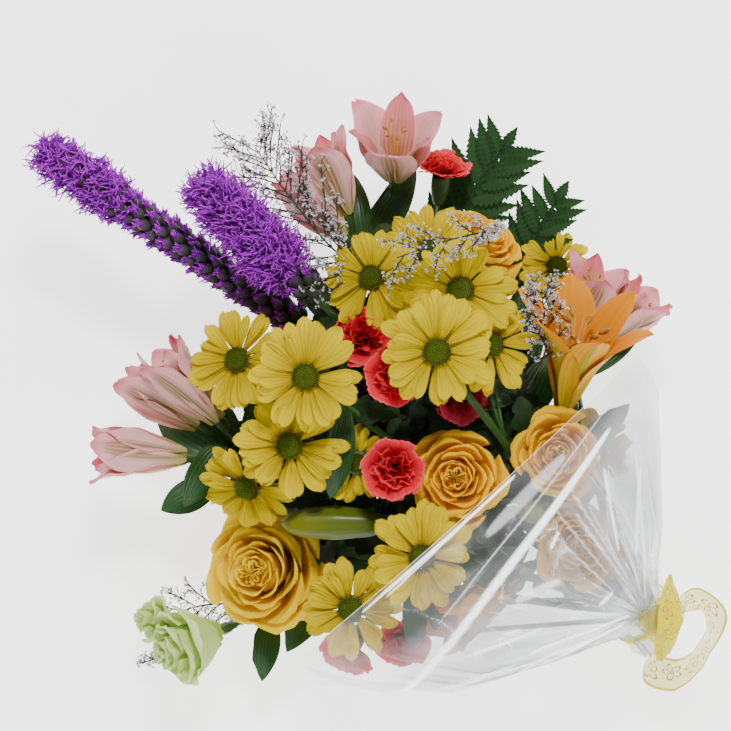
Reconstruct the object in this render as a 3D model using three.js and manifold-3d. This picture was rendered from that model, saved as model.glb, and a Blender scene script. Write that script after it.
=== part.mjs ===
// A mixed cut-flower bouquet lying on a table: chrysanthemum daisies, roses, mini carnations, lilies,
// alstroemeria, liatris, a lisianthus, sea-lavender and fern, gathered in a clear film wrap and tied with
// an organza ribbon.
//
// Millimetres, +Z up. +X runs along the bouquet from the tie to the tips, +Y is to its left, and the table
// is at z = 0. Everything is laid out from the tie, and the outer group then moves the origin to the flat
// spot the wrap rests on.
import * as THREE from "three";
import { mergeVertices } from "three/addons/utils/BufferGeometryUtils.js";
import Module from "manifold-3d";

const wasm = await Module();
wasm.setup();
const { Manifold, Mesh } = wasm;

// ---------------------------------------------------------------------------------- driving dimensions
const REST_ALONG = 150; // from the tie to the middle of the wrap's flat underside
const TIE = { height: 37, pitch: 33, radius: 16 }; // its centre's height, degrees the bunch rises, its radius
const TAIL = 13; // stems below the tie
const PETAL = 0.8; // thickness of petals
const LEAF = 0.8; // thickness of leaves
const FILM = 0.7; // thickness of the wrap
const GAP = 0.35; // clearance between neighbours

const COLOURS = {
  daisy: [0xffe100, 0.6],
  rose: [0xf6b500, 0.6],
  carnation: [0xd8303a, 0.7],
  lily: [0xf59a1c, 0.5],
  alstroemeria: [0xeda4b4, 0.55],
  lisianthus: [0xcfe58a, 0.6],
  liatris: [0x9a35d8, 0.7],
  limonium: [0x8f8aa8, 0.8],
  fern: [0x2a5130, 0.6],
  green: [0x3f6a2c, 0.6],
  film: [0xe8eef0, 0.1],
  ribbon: [0xf0e23c, 0.4],
};

// ------------------------------------------------------------------------------------- the arrangement
// at: along, left, up from the point under the tie. toward and lean: the compass angle (0 along +X, 90 to
// the left) and the tilt from straight up of the way the bloom faces. Flat blooms are placed by their
// face, trumpets by their base.
const BLOOMS_BY_KIND = {
  daisy: [
    { name: "daisy_1", at: [244, 15, 136], toward: 159, lean: 6, radius: 32, spin: 5 },
    { name: "daisy_2", at: [195, -43, 144], toward: 129, lean: 8, radius: 33, spin: 12 },
    { name: "daisy_3", at: [226, 52, 113], toward: 60, lean: 8, radius: 31 },
    { name: "daisy_4", at: [127, 54, 116], toward: -141, lean: 6, radius: 31, spin: 20 },
    { name: "daisy_5", at: [139, 104, 91], toward: 119, lean: 13, radius: 31, spin: 8 },
    { name: "daisy_6", at: [206, -79, 121], toward: -51, lean: 16, radius: 34, spin: 3 },
    { name: "daisy_7", at: [234, -86, 95], toward: -41, lean: 25, radius: 30 },
    { name: "daisy_8", at: [250, -53, 108], toward: 9, lean: 22, radius: 30, spin: 9 },
    { name: "daisy_9", at: [173, -66, 115], toward: -151, lean: 14, radius: 29 },
    { name: "daisy_10", at: [281, 33, 93], toward: 9, lean: 20, radius: 30, spin: 14 },
    { name: "daisy_11", at: [230, 87, 89], toward: 94, lean: 36, radius: 31 },
    { name: "daisy_12", at: [174, -126, 40], toward: -71, lean: 14, radius: 22 },
    { name: "daisy_13", at: [190, 36, 96], toward: -161, lean: 10, radius: 23 },
    { name: "daisy_14", at: [84, -64, 60], toward: -121, lean: 34, radius: 23 },
  ],
  rose: [
    { name: "rose_1", at: [197, 126, 72], toward: 39, lean: 22, radius: 38 },
    { name: "rose_2", at: [141, 6, 119], toward: 39, lean: 6, radius: 31, spin: 20 },
    { name: "rose_3", at: [103, -41, 115], toward: 9, lean: 4, radius: 28, spin: 40 },
    { name: "rose_4", at: [57, -8, 97], toward: -141, lean: 2, radius: 28, spin: 10 },
    { name: "rose_5", at: [214, -120, 84], toward: -81, lean: 50, radius: 28 },
  ],
  carnation: [
    { name: "carnation_1", at: [263, -135, 72], toward: -56, lean: 66, radius: 18 },
    { name: "carnation_2", at: [236, -24, 113], toward: -21, lean: 22, radius: 19, spin: 10 },
    { name: "carnation_3", at: [204, -17, 130], toward: 129, lean: 8, radius: 18 },
    { name: "carnation_4", at: [165, -34, 108], toward: -161, lean: 20, radius: 18, spin: 25 },
    { name: "carnation_5", at: [171, 26, 128], toward: 99, lean: 10, radius: 18, spin: 30 },
    { name: "carnation_6", at: [99, 107, 54], toward: 109, lean: 40, radius: 18 },
    { name: "carnation_7", at: [120, 134, 42], toward: 99, lean: 55, radius: 18, spin: 10 },
  ],
  lily: [
    { name: "lily_1", at: [114, -62, 88], toward: -61, lean: 58, length: 86, mouth: 40, spin: 12 },
    { name: "lily_2", at: [71, 22, 62], toward: 72, lean: 60, length: 76, mouth: 18 },
  ],
  alstroemeria: [
    { name: "alstroemeria_1", at: [276, -106, 62], toward: -51, lean: 46, length: 52, mouth: 28 },
    { name: "alstroemeria_2", at: [284, -72, 60], toward: -30, lean: 74, length: 56, mouth: 17, spin: 20 },
    { name: "alstroemeria_3", at: [276, -62, 66], toward: -8, lean: 78, length: 56, mouth: 13 },
    { name: "alstroemeria_4", at: [265, 69, 66], toward: -11, lean: 82, length: 62, mouth: 16 },
    { name: "alstroemeria_5", at: [273, 78, 48], toward: 5, lean: 88, length: 60, mouth: 13, spin: 30 },
    { name: "alstroemeria_6", at: [267, 96, 56], toward: 37, lean: 86, length: 62, mouth: 17 },
    { name: "alstroemeria_7", at: [136, -100, 46], toward: -72, lean: 66, length: 54, mouth: 20 },
    { name: "alstroemeria_8", at: [120, -105, 42], toward: -94, lean: 70, length: 54, mouth: 18, spin: 20 },
  ],
  lisianthus: [
    { name: "lisianthus", at: [188, 166, 34], toward: 59, lean: 62, length: 46, mouth: 28 },
  ],
};
const BLOOMS = Object.entries(BLOOMS_BY_KIND).flatMap(([kind, blooms]) =>
  blooms.map((bloom) => ({ kind, ...bloom })),
);

// Closed lily buds and the liatris spikes: base, tip and greatest radius.
const BUDS = [
  { name: "bud_1", from: [153, 52, 92], to: [201, 91, 88], radius: 9.5 },
  { name: "bud_2", from: [84, -14, 66], to: [97, -4, 98], radius: 8.5 },
];
const SPIKES = [
  { name: "liatris_1", from: [262, -6, 66], to: [448, 10, 86], radius: 17 },
  { name: "liatris_2", from: [268, -24, 96], to: [372, -34, 104], radius: 19 },
];

// What grows from which stem. The first bloom ends the main stem; the others branch from it.
const PLANTS = [
  { name: "rose_stem_1", blooms: ["rose_1"], radius: 2.5 },
  { name: "rose_stem_2", blooms: ["rose_2"], radius: 2.5 },
  { name: "rose_stem_3", blooms: ["rose_3"], radius: 2.5 },
  { name: "rose_stem_4", blooms: ["rose_4"], radius: 2.5 },
  { name: "rose_stem_5", blooms: ["rose_5"], radius: 2.5 },
  { name: "daisy_stem_1", blooms: ["daisy_1", "daisy_3", "daisy_10", "daisy_11", "daisy_13"], radius: 2.2 },
  { name: "daisy_stem_2", blooms: ["daisy_2", "daisy_6", "daisy_7", "daisy_8", "daisy_9"], radius: 2.2 },
  { name: "daisy_stem_3", blooms: ["daisy_4", "daisy_5"], radius: 2 },
  { name: "daisy_stem_4", blooms: ["daisy_12", "daisy_14"], radius: 2 },
  { name: "carnation_stem_1", blooms: ["carnation_2", "carnation_3"], radius: 1.7 },
  { name: "carnation_stem_2", blooms: ["carnation_5", "carnation_4"], radius: 1.7 },
  { name: "carnation_stem_3", blooms: ["carnation_7", "carnation_6"], radius: 1.7 },
  { name: "carnation_stem_4", blooms: ["carnation_1"], radius: 1.7 },
  { name: "lily_stem", blooms: ["lily_1", "lily_2", "bud_1", "bud_2"], radius: 2.8 },
  { name: "alstroemeria_stem_1", blooms: ["alstroemeria_2", "alstroemeria_1", "alstroemeria_3"], radius: 2 },
  { name: "alstroemeria_stem_2", blooms: ["alstroemeria_4", "alstroemeria_5", "alstroemeria_6"], radius: 2 },
  { name: "alstroemeria_stem_3", blooms: ["alstroemeria_7", "alstroemeria_8"], radius: 2 },
  { name: "lisianthus_stem", blooms: ["lisianthus"], radius: 1.8 },
  { name: "liatris_stem_1", blooms: ["liatris_1"], radius: 2.4 },
  { name: "liatris_stem_2", blooms: ["liatris_2"], radius: 2.4 },
];

// Which stems are one body: they grow out of the first one in the tie.
const GROUPS = {
  rose_stems: ["rose_stem_1", "rose_stem_2", "rose_stem_3", "rose_stem_4", "rose_stem_5"],
  daisy_spray_1: ["daisy_stem_1"],
  daisy_spray_2: ["daisy_stem_2"],
  daisy_spray_3: ["daisy_stem_3", "daisy_stem_4"],
  carnation_stems: ["carnation_stem_1", "carnation_stem_2", "carnation_stem_3", "carnation_stem_4"],
  lily_stem: ["lily_stem"],
  alstroemeria_stem_1: ["alstroemeria_stem_1"],
  alstroemeria_stem_2: ["alstroemeria_stem_2"],
  alstroemeria_stem_3: ["alstroemeria_stem_3"],
  lisianthus_stem: ["lisianthus_stem"],
  liatris_stem_1: ["liatris_stem_1"],
  liatris_stem_2: ["liatris_stem_2"],
};

// --------------------------------------------------------------------------------------- small helpers
const V = (x, y, z) => new THREE.Vector3(x, y, z);
const RAD = Math.PI / 180;
const GOLDEN = 2.399963; // the angle between one floret and the next
const lerp = THREE.MathUtils.lerp;

// The same draws every time: a small seeded generator.
function seeded(seed) {
  let a = seed >>> 0;
  return () => {
    a = (a + 0x6d2b79f5) | 0;
    let t = Math.imul(a ^ (a >>> 15), 1 | a);
    t = (t + Math.imul(t ^ (t >>> 7), 61 | t)) ^ t;
    return ((t ^ (t >>> 14)) >>> 0) / 4294967296;
  };
}

// A closed three.js geometry as a solid.
function solidOf(geometry) {
  const bare = geometry.index ? geometry.toNonIndexed() : geometry.clone();
  bare.deleteAttribute("normal");
  bare.deleteAttribute("uv");
  const merged = mergeVertices(bare, 1e-3);
  return new Manifold(
    new Mesh({
      numProp: 3,
      vertProperties: new Float32Array(merged.attributes.position.array),
      triVerts: new Uint32Array(merged.index.array),
    }),
  );
}

function geometryOf(solid) {
  const mesh = solid.getMesh();
  const geometry = new THREE.BufferGeometry();
  geometry.setAttribute("position", new THREE.BufferAttribute(new Float32Array(mesh.vertProperties), 3));
  geometry.setIndex(new THREE.BufferAttribute(new Uint32Array(mesh.triVerts), 1));
  geometry.computeVertexNormals();
  return geometry;
}

// A closed solid from points and triangles, each point a Vector3. Triangles that all face inward are
// turned over.
function solidFrom(points, faces) {
  const build = (list) =>
    new Manifold(
      new Mesh({
        numProp: 3,
        vertProperties: new Float32Array(points.flatMap((p) => p.toArray())),
        triVerts: new Uint32Array(list.flat()),
      }),
    );
  const made = build(faces);
  return made.volume() > 0 ? made : build(faces.map(([a, b, c]) => [a, c, b]));
}

// Added all round while a shape is built to cut its clearance out of a neighbour, and otherwise nothing.
let margin = 0;

const joined = (solids) => Manifold.union(solids);
const placed = (solid, matrix) => solid.transform(matrix.elements);

// The largest body of a solid: a cut can leave a loose scrap.
function largest(solid) {
  const bodies = solid.decompose();
  return bodies.reduce((a, b) => (b.volume() > a.volume() ? b : a), bodies[0]);
}

// Where a bloom stands: its own +Z is the way it faces.
function frameOf({ at, toward, lean, spin = 0 }) {
  return new THREE.Matrix4()
    .makeTranslation(...at)
    .multiply(new THREE.Matrix4().makeRotationZ(toward * RAD))
    .multiply(new THREE.Matrix4().makeRotationY(lean * RAD))
    .multiply(new THREE.Matrix4().makeRotationZ((spin - toward) * RAD));
}

function facing({ toward, lean }) {
  const out = Math.sin(lean * RAD);
  return V(out * Math.cos(toward * RAD), out * Math.sin(toward * RAD), Math.cos(lean * RAD));
}

function lathe(profile, sides) {
  const last = profile.length - 1;
  const points = profile.map(([r, z], k) => {
    const end = k <= 1 && profile[0][0] === 0 ? -margin : k >= last ? margin : 0;
    return new THREE.Vector2(r ? r + margin : 0, z + end);
  });
  return solidOf(new THREE.LatheGeometry(points, sides).rotateX(Math.PI / 2));
}

// ----------------------------------------------------------------------------------- petals and leaves
// A ring of petals as one closed thin solid: a hub, then petals that part from it. place(i, f, v) gives a
// point of petal i at f along it (0 at the hub, 1 at the tip) and v across it (-1 to 1). Each petal has a
// row of three points at each value in rows, and ends in tips: the values of v of its last points.
function petalRing({ petals, hole, rows, tips, place, thick = PETAL }) {
  const top = [];
  const bottom = [];
  const add = (point, normal) => {
    const half = normal.clone().multiplyScalar(thick / 2 + margin);
    top.push(point.clone().add(half));
    bottom.push(point.clone().sub(half));
    return top.length - 1;
  };
  const STEP = 0.02;
  const normalAt = (i, f, v) => {
    const along = place(i, f + STEP, v).sub(place(i, Math.max(0, f - STEP), v));
    const across = place(i, f, v + STEP).sub(place(i, f, v - STEP));
    return along.cross(across).normalize();
  };
  const notch = [];
  const inner = [];
  for (let i = 0; i < petals; i++) {
    const before = (i + petals - 1) % petals;
    const point = place(i, 0, -1).add(place(before, 0, 1)).multiplyScalar(0.5);
    const normal = normalAt(i, 0, -1).add(normalAt(before, 0, 1)).normalize();
    notch.push(add(point, normal));
    if (hole) inner.push(add(V(point.x, point.y, 0).setLength(hole).setZ(point.z), V(0, 0, 1)));
  }
  const level = notch.reduce((z, k) => z + (top[k].z + bottom[k].z) / 2, 0) / petals;
  const centre = hole ? -1 : add(V(0, 0, level), V(0, 0, 1));
  const faces = [];
  const rim = [];
  for (let i = 0; i < petals; i++) {
    const next = (i + 1) % petals;
    const [a, b] = [notch[i], notch[next]];
    if (hole) faces.push([inner[i], a, b], [inner[i], b, inner[next]]);
    else faces.push([centre, a, b]);
    const lines = rows.map((f) => [-1, 0, 1].map((v) => add(place(i, f, v), normalAt(i, f, v))));
    const ends = tips.map((v) => add(place(i, 1, v), normalAt(i, 1, v)));
    const [l, c, r] = lines[0];
    faces.push([a, l, c], [a, c, b], [b, c, r]);
    for (let k = 1; k < lines.length; k++) {
      const [p, q] = [lines[k - 1], lines[k]];
      faces.push([p[0], q[0], q[1]], [p[0], q[1], p[1]], [p[1], q[1], p[2]], [p[2], q[1], q[2]]);
    }
    const last = lines[lines.length - 1];
    faces.push([last[0], ends[0], last[1]], [last[1], ends[ends.length - 1], last[2]]);
    for (let k = 1; k < ends.length; k++) faces.push([last[1], ends[k - 1], ends[k]]);
    const edge = [a, ...lines.map((x) => x[0]), ...ends, ...lines.map((x) => x[2]).reverse(), b];
    for (let k = 1; k < edge.length; k++) rim.push([edge[k - 1], edge[k]]);
    if (hole) rim.push([inner[next], inner[i]]);
  }
  return closeSheet(top, bottom, faces, rim);
}

// Joins an upper sheet, the same sheet turned over and a wall along its rim.
function closeSheet(top, bottom, faces, rim) {
  const n = top.length;
  const all = [
    ...faces,
    ...faces.map(([a, b, c]) => [a + n, c + n, b + n]),
    ...rim.flatMap(([a, b]) => [
      [a, a + n, b + n],
      [a, b + n, b],
    ]),
  ];
  return solidFrom([...top, ...bottom], all);
}

// A leaf or blade from base to tip as a closed thin solid. width(f) is its half width at f along it, side
// a vector across it, arch how far its middle rises, cup how far its edges rise above its midrib, and bend
// how far its tip hangs.
function leaf({ base, tip, side, rows, width, arch = 0, cup = 0, bend = 0, thick = LEAF }) {
  const along = tip.clone().sub(base);
  const across = side.clone().addScaledVector(along, -side.dot(along) / along.lengthSq()).normalize();
  const up = across.clone().cross(along).normalize().multiplyScalar(-1);
  const place = (f, v) => {
    const rise = (arch + cup * Math.abs(v)) * Math.sin(Math.PI * f) - bend * f * f;
    const onRib = base.clone().addScaledVector(along, f).addScaledVector(up, rise);
    return onRib.addScaledVector(across, v * (width(f) + margin));
  };
  const top = [];
  const bottom = [];
  const add = (f, v) => {
    const step = 0.02;
    const a = place(f + step, v).sub(place(f - step, v));
    const half = a.cross(across).normalize().multiplyScalar(-thick / 2 - margin);
    const p = place(f, v);
    top.push(p.clone().add(half));
    bottom.push(p.clone().sub(half));
    return top.length - 1;
  };
  const [b0, b1] = [add(0, -1), add(0, 1)];
  const lines = rows.map((f) => [add(f, -1), add(f, 0), add(f, 1)]);
  const end = add(1, 0);
  const faces = [
    [b0, lines[0][0], lines[0][1]],
    [b0, lines[0][1], b1],
    [b1, lines[0][1], lines[0][2]],
  ];
  for (let k = 1; k < lines.length; k++) {
    const [p, q] = [lines[k - 1], lines[k]];
    faces.push([p[0], q[0], q[1]], [p[0], q[1], p[1]], [p[1], q[1], p[2]], [p[2], q[1], q[2]]);
  }
  const last = lines[lines.length - 1];
  faces.push([last[0], end, last[1]], [last[1], end, last[2]]);
  const edge = [b0, ...lines.map((x) => x[0]), end, ...lines.map((x) => x[2]).reverse(), b1, b0];
  const rim = edge.slice(1).map((b, k) => [edge[k], b]);
  return closeSheet(top, bottom, faces, rim);
}

// ---------------------------------------------------------------------------------------------- blooms
// Each maker returns a bloom in its own frame, facing +Z.

const DAISY = { hole: 3.3, hub: 7.6, petals: 10, disc: 8 };

function daisyPetals({ radius }, random) {
  const { hole, hub, petals } = DAISY;
  const drawn = Array.from({ length: petals }, () => [random() - 0.5, random() - 0.5, random() - 0.5]);
  return petalRing({
    petals,
    hole,
    rows: [0.72],
    tips: [0],
    place: (i, f, v) => {
      const [turn, stretch, lift] = drawn[i];
      const layer = i % 2 ? 1 : -1;
      const r = lerp(hub, radius * (0.95 + 0.09 * stretch), f);
      const half = (Math.PI / petals) * lerp(1, 0.93, f) * (f < 0.05 ? 1 : 1.06);
      const angle = ((2 * Math.PI) / petals) * i + v * half + turn * 0.09 * f;
      const apart = (layer * 1.25 + lift * 1.6) * Math.min(1, 2.2 * f);
      const rise = 2.2 * f - 5.5 * f * f + apart - 0.7 * Math.abs(v) * f;
      return V(r * Math.cos(angle), r * Math.sin(angle), rise);
    },
  });
}

// The green of a daisy: the disc on its core, which passes up through the ring, and the cup of bracts
// below.
function daisyGreen() {
  const bracts = [
    [0, -10.6],
    [6.4, -1.1],
    [2.5, -0.9],
  ];
  const disc = [
    [2.5, 0.8],
    [DAISY.disc, 1.1],
    [0, 3.8],
  ];
  return lathe([...bracts, ...disc], 5);
}

const ROSE_DEPTH = 1.12; // of its radius

// Outer and middle petals take turns round one hub; the closed petals of the middle stand on the heart
// inside them.
function rosePetals({ radius }, random) {
  const depth = ROSE_DEPTH * radius;
  const whorl = ({ petals, rows, shape, low, turn }) => {
    const drawn = Array.from({ length: petals }, () => Math.abs(random() - 0.5));
    return petalRing({
      petals,
      rows,
      tips: [-0.5, 0.5],
      thick: PETAL * 1.1,
      place: (i, f, v) => {
        const { reach, height, flare, spread } = shape(i % petals);
        const hub = 0.12 * radius;
        const swell = Math.sin(Math.min(1, f * 1.15) * Math.PI * 0.5);
        const opened = radius * flare * Math.max(0, f - 0.45) * 0.9;
        const lap = f > 0.05 ? 0.05 * v * Math.min(1, f * 2) : 0;
        const r = (lerp(hub, radius * reach * (0.8 - flare * 0.3), swell) + opened) * (1 + lap);
        const half = (Math.PI / petals) * (f < 0.05 ? 1 : spread);
        const angle = ((2 * Math.PI) / petals) * (i + turn) + v * half;
        const lip = flare * radius * 0.55 * Math.max(0, f - 0.72) ** 2 * 8;
        const fall = drawn[i % petals] * 1.6 * f + radius * 0.05 * v * v * f;
        const z = -depth + low + (depth * height - low) * f ** 1.05 - lip - fall;
        return V(r * Math.cos(angle), r * Math.sin(angle), z);
      },
    });
  };
  const outer = { reach: 1, height: 0.74, flare: 0.36, spread: 1.75 };
  const middle = { reach: 0.7, height: 0.92, flare: 0.12, spread: 1.6 };
  const inner = { reach: 0.42, height: 0.99, flare: 0.04, spread: 1.1 };
  const rings = [
    whorl({ petals: 10, rows: [0.62], shape: (i) => (i % 2 ? middle : outer), low: 0, turn: 0 }),
    whorl({ petals: 3, rows: [0.6], shape: () => inner, low: 2.4, turn: 0.2 }),
  ];
  const heart = [
    [0, -depth - 0.2],
    [radius * 0.08, -depth - 0.2],
    [radius * 0.14, -3],
    [0, -1.5],
  ];
  return joined([...rings, lathe(heart, 4)]);
}

// The hip and the spread sepals under a rose.
function roseGreen({ radius }) {
  const foot = -ROSE_DEPTH * radius - 10;
  const hip = [
    [0, foot],
    [2.4, foot],
    [4.3, foot + 6],
    [6.5, foot + 8.8],
    [0, foot + 9.1],
  ];
  return lathe(hip, 5);
}

const CARNATION = { depth: 15, tube: 15, petals: 8 };

// Low wide petals and high narrow ones take turns, each crimped across.
function carnationPetals({ radius }, random) {
  const { depth, petals } = CARNATION;
  const drawn = Array.from({ length: petals }, () => random() - 0.5);
  return petalRing({
    petals,
    rows: [0.62],
    tips: [-0.6, 0.6],
    place: (i, f, v) => {
      const inner = i % 2;
      const swell = Math.sin(Math.min(1, f) * Math.PI * 0.5);
      const r = lerp(2.9, radius * (inner ? 0.5 : 1) * (1 + 0.08 * drawn[i]), swell ** (inner ? 1.5 : 0.9));
      const spread = f < 0.05 ? 1 : inner ? 1.25 : 1.5;
      const angle = ((2 * Math.PI) / petals) * i + v * (Math.PI / petals) * spread;
      const crimp = 2.2 * f * (v * v * 2 - 1) * (i % 4 < 2 ? 1 : -0.7);
      const z = -depth + (depth + (inner ? -1 : -7)) * (inner ? f : f ** 0.75) + crimp;
      return V(r * Math.cos(angle), r * Math.sin(angle), z);
    },
  });
}

// The long green tube under a carnation.
function carnationGreen() {
  const { depth, tube } = CARNATION;
  const low = -depth - tube;
  const profile = [
    [0, low],
    [1.7, low],
    [4.4, low + tube * 0.4],
    [4.8, -depth - 1.1],
    [0, -depth - 0.9],
  ];
  return lathe(profile, 4);
}

// A trumpet of six tepals, in two alternating rings of three that share one throat.
function trumpet({ length, mouth, throat, waist, wide, curl, pleat = 0, rows = [0.34, 0.7] }, random) {
  const drawn = Array.from({ length: 6 }, () => random() - 0.5);
  return petalRing({
    petals: 6,
    rows,
    tips: [0],
    place: (i, f, v) => {
      const inner = i % 2;
      const open = throat + (mouth * (1 + 0.12 * drawn[i]) - throat) * f ** waist;
      const within = inner && f > 0.05 ? 0.9 + 1.6 * Math.min(1, 2 * f) : 0;
      const r = open - within - Math.abs(v) * mouth * 0.06 * f;
      const spread = f < 0.05 ? 1 : lerp(1.05, inner ? wide * 0.8 : wide, Math.min(1, f * 1.4));
      const half = ((Math.PI / 6) * spread * (throat + 6)) / (Math.max(throat, r * 0.55) + 6);
      const angle = (Math.PI / 3) * i + v * half;
      const reach = length * (1 + 0.05 * drawn[(i + 2) % 6]);
      const z = 4 + (reach - 4) * f - curl * f ** 3 + pleat * f * (1 - Math.abs(v));
      return V(r * Math.cos(angle), r * Math.sin(angle), z);
    },
  });
}

function alstroemeriaPetals({ length, mouth }, random) {
  const rows = mouth > 20 ? [0.34, 0.7] : [0.55];
  return trumpet({ length, mouth, throat: 3.4, waist: 1.25, wide: 1.5, curl: mouth * 0.16, rows }, random);
}

function lilyPetals({ length, mouth }, random) {
  const pistil = [
    [0, 3.8],
    [1, 3.8],
    [1, length * 0.62],
    [2.4, length * 0.66],
    [0, length * 0.68],
  ];
  const shape = { length, mouth, throat: 4.4, waist: 1.5, wide: 1.35, curl: mouth * 0.34, pleat: -1.2 };
  return joined([trumpet(shape, random), lathe(pistil, 4)]);
}

// Ruffled petals, wide ones and inner ones in turn.
function lisianthusPetals({ length, mouth }, random) {
  const petals = 8;
  const drawn = Array.from({ length: petals }, () => random() - 0.5);
  return petalRing({
    petals,
    rows: [0.6],
    tips: [-0.6, 0.6],
    place: (i, f, v) => {
      const inner = i % 2;
      const reach = mouth * (inner ? 0.6 : 1) * (1 + 0.1 * drawn[i]);
      const r = lerp(3.6, reach, f ** 0.85) * (1 + 0.06 * v * Math.min(1, 2 * f));
      const spread = f < 0.05 ? 1 : inner ? 1.3 : 1.7;
      const angle = ((2 * Math.PI) / petals) * i + v * (Math.PI / petals) * spread;
      const curl = mouth * (inner ? 0.1 : 0.3) * f ** 4;
      const z = 4 + length * (inner ? 1 : 0.92) * f - curl + 1.4 * f * Math.cos(3 * v + i);
      return V(r * Math.cos(angle), r * Math.sin(angle), z);
    },
  });
}

// The green ovary or cup under a trumpet.
function trumpetGreen(low, wide) {
  const profile = [
    [0, -low],
    [1.7, -low],
    [wide, -low * 0.3],
    [wide * 0.8, 3.05],
    [0, 3.15],
  ];
  return () => lathe(profile, 5);
}

// A closed lily bud, with six shallow ridges.
function budSolid({ length, radius }) {
  const profile = [
    [0, 0],
    [0.72, 0.2],
    [1, 0.5],
    [0.75, 0.85],
    [0, 1],
  ];
  const points = profile.map(([r, z]) => new THREE.Vector2(r * radius, z * length));
  const ridged = new THREE.LatheGeometry(points, 6).rotateX(Math.PI / 2);
  const p = ridged.getAttribute("position");
  for (let k = 0; k < p.count; k++) {
    const shrink = 0.93 + 0.07 * Math.cos(3 * Math.atan2(p.getY(k), p.getX(k)));
    p.setXY(k, p.getX(k) * shrink, p.getY(k) * shrink);
  }
  return solidOf(ridged);
}

// For each kind: its petals, its green, how far its foot lies behind at, and girth: the half width, half
// depth and middle (before or behind at) of the room that it takes up.
const KINDS = {
  daisy: {
    petals: daisyPetals,
    green: daisyGreen,
    foot: () => 9.2,
    girth: (b) => [b.radius + 1, 6.5, -2],
  },
  rose: {
    petals: rosePetals,
    green: roseGreen,
    foot: (b) => ROSE_DEPTH * b.radius + 9,
    girth: (b) => [b.radius, b.radius * 0.66, -b.radius * 0.52],
  },
  carnation: {
    petals: carnationPetals,
    green: carnationGreen,
    foot: () => CARNATION.depth + CARNATION.tube - 1,
    girth: (b) => [b.radius + 1, 10, -7],
  },
  lily: {
    petals: lilyPetals,
    green: trumpetGreen(6, 3.4),
    foot: () => 5.5,
    girth: (b) => [b.mouth * 0.75, b.length * 0.42, b.length * 0.6],
  },
  alstroemeria: {
    petals: alstroemeriaPetals,
    green: trumpetGreen(8, 3.6),
    foot: () => 7.5,
    girth: (b) => [b.mouth * 0.8, b.length * 0.45, b.length * 0.58],
  },
  lisianthus: {
    petals: lisianthusPetals,
    green: trumpetGreen(10, 4),
    foot: () => 9.5,
    girth: (b) => [b.mouth * 0.85, b.length * 0.5, b.length * 0.6],
  },
};

// ----------------------------------------------------------------------------------------------- stems
const bunchAxis = V(Math.cos(TIE.pitch * RAD), 0, Math.sin(TIE.pitch * RAD));
const bunchUp = V(-Math.sin(TIE.pitch * RAD), 0, Math.cos(TIE.pitch * RAD));
const tieCentre = V(0, 0, TIE.height);

// Where each stem has to arrive, and from which way.
const HEADS = new Map();
for (const bloom of BLOOMS) {
  const direction = facing(bloom);
  const foot = V(...bloom.at).addScaledVector(direction, -KINDS[bloom.kind].foot(bloom));
  HEADS.set(bloom.name, { foot, direction });
}
for (const { name, from, to } of [...BUDS, ...SPIKES]) {
  const direction = V(...to).sub(V(...from)).normalize();
  const inside = SPIKES.some((s) => s.name === name) ? -0.4 : 1;
  HEADS.set(name, { foot: V(...from).addScaledVector(direction, inside), direction });
}

// Room that stems keep out of: an ellipsoid round each bloom.
const ROOMS = [
  ...BLOOMS.map((bloom) => {
    const [wide, deep, offset] = KINDS[bloom.kind].girth(bloom);
    const direction = facing(bloom);
    const centre = V(...bloom.at).addScaledVector(direction, offset);
    return { name: bloom.name, centre, direction, wide, deep };
  }),
  ...[...BUDS, ...SPIKES].map(({ name, from, to, radius }) => {
    const span = V(...to).sub(V(...from));
    const centre = V(...from).addScaledVector(span, 0.5);
    return { name, centre, direction: span.clone().normalize(), wide: radius + 1, deep: span.length() / 2 };
  }),
];

// The hips of the roses, the calyx tubes of the carnations and the throats of the trumpets, which stems go
// round.
const POSTS = BLOOMS.filter((b) => b.kind !== "daisy").map((bloom) => {
  const ends = {
    rose: [-ROSE_DEPTH * bloom.radius, -ROSE_DEPTH * bloom.radius - 9],
    carnation: [-CARNATION.depth, -CARNATION.depth - 16],
  };
  const [top, low] = ends[bloom.kind] ?? [bloom.length * 0.35, -3];
  const points = [top, low].map((z) => V(...bloom.at).addScaledVector(facing(bloom), z));
  return { plant: null, group: bloom.name, bloom: bloom.name, branch: false, radius: 6, points };
});

const MAIN_POINTS = 9;
const BRANCH_POINTS = 5;
const APPROACH = 12; // the last straight stretch into a bloom
const STRAIGHT = 0.8; // how far a stem's line may stray before it needs a bend

function strandsOf(plant) {
  return plant.blooms.map((bloom, k) => {
    const { foot, direction } = HEADS.get(bloom);
    const before = foot.clone().addScaledVector(direction, -APPROACH);
    const count = k ? BRANCH_POINTS : MAIN_POINTS;
    const sideways = V(0, foot.y, foot.z - TIE.height).multiplyScalar(0.09);
    const slot = tieCentre.clone().add(V(0, sideways.y, 0)).addScaledVector(bunchUp, sideways.z * 0.6);
    const points = Array.from({ length: count }, (_, n) => {
      if (k) return before.clone();
      if (n === 0) return slot.clone().addScaledVector(bunchAxis, -TAIL);
      return slot.clone().lerp(before, (n - 1) / (count - 3));
    });
    points[count - 1] = foot.clone();
    points[count - 2] = before;
    const group = Object.keys(GROUPS).find((g) => GROUPS[g].includes(plant.name));
    const leads = GROUPS[group][0] === plant.name;
    const radius = plant.radius * (k ? 0.8 : 1);
    const [main, branch, attach] = k ? [false, true, 5] : [true, !leads, 1];
    return { plant, group, bloom, points, main, branch, attach, radius };
  });
}

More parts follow.
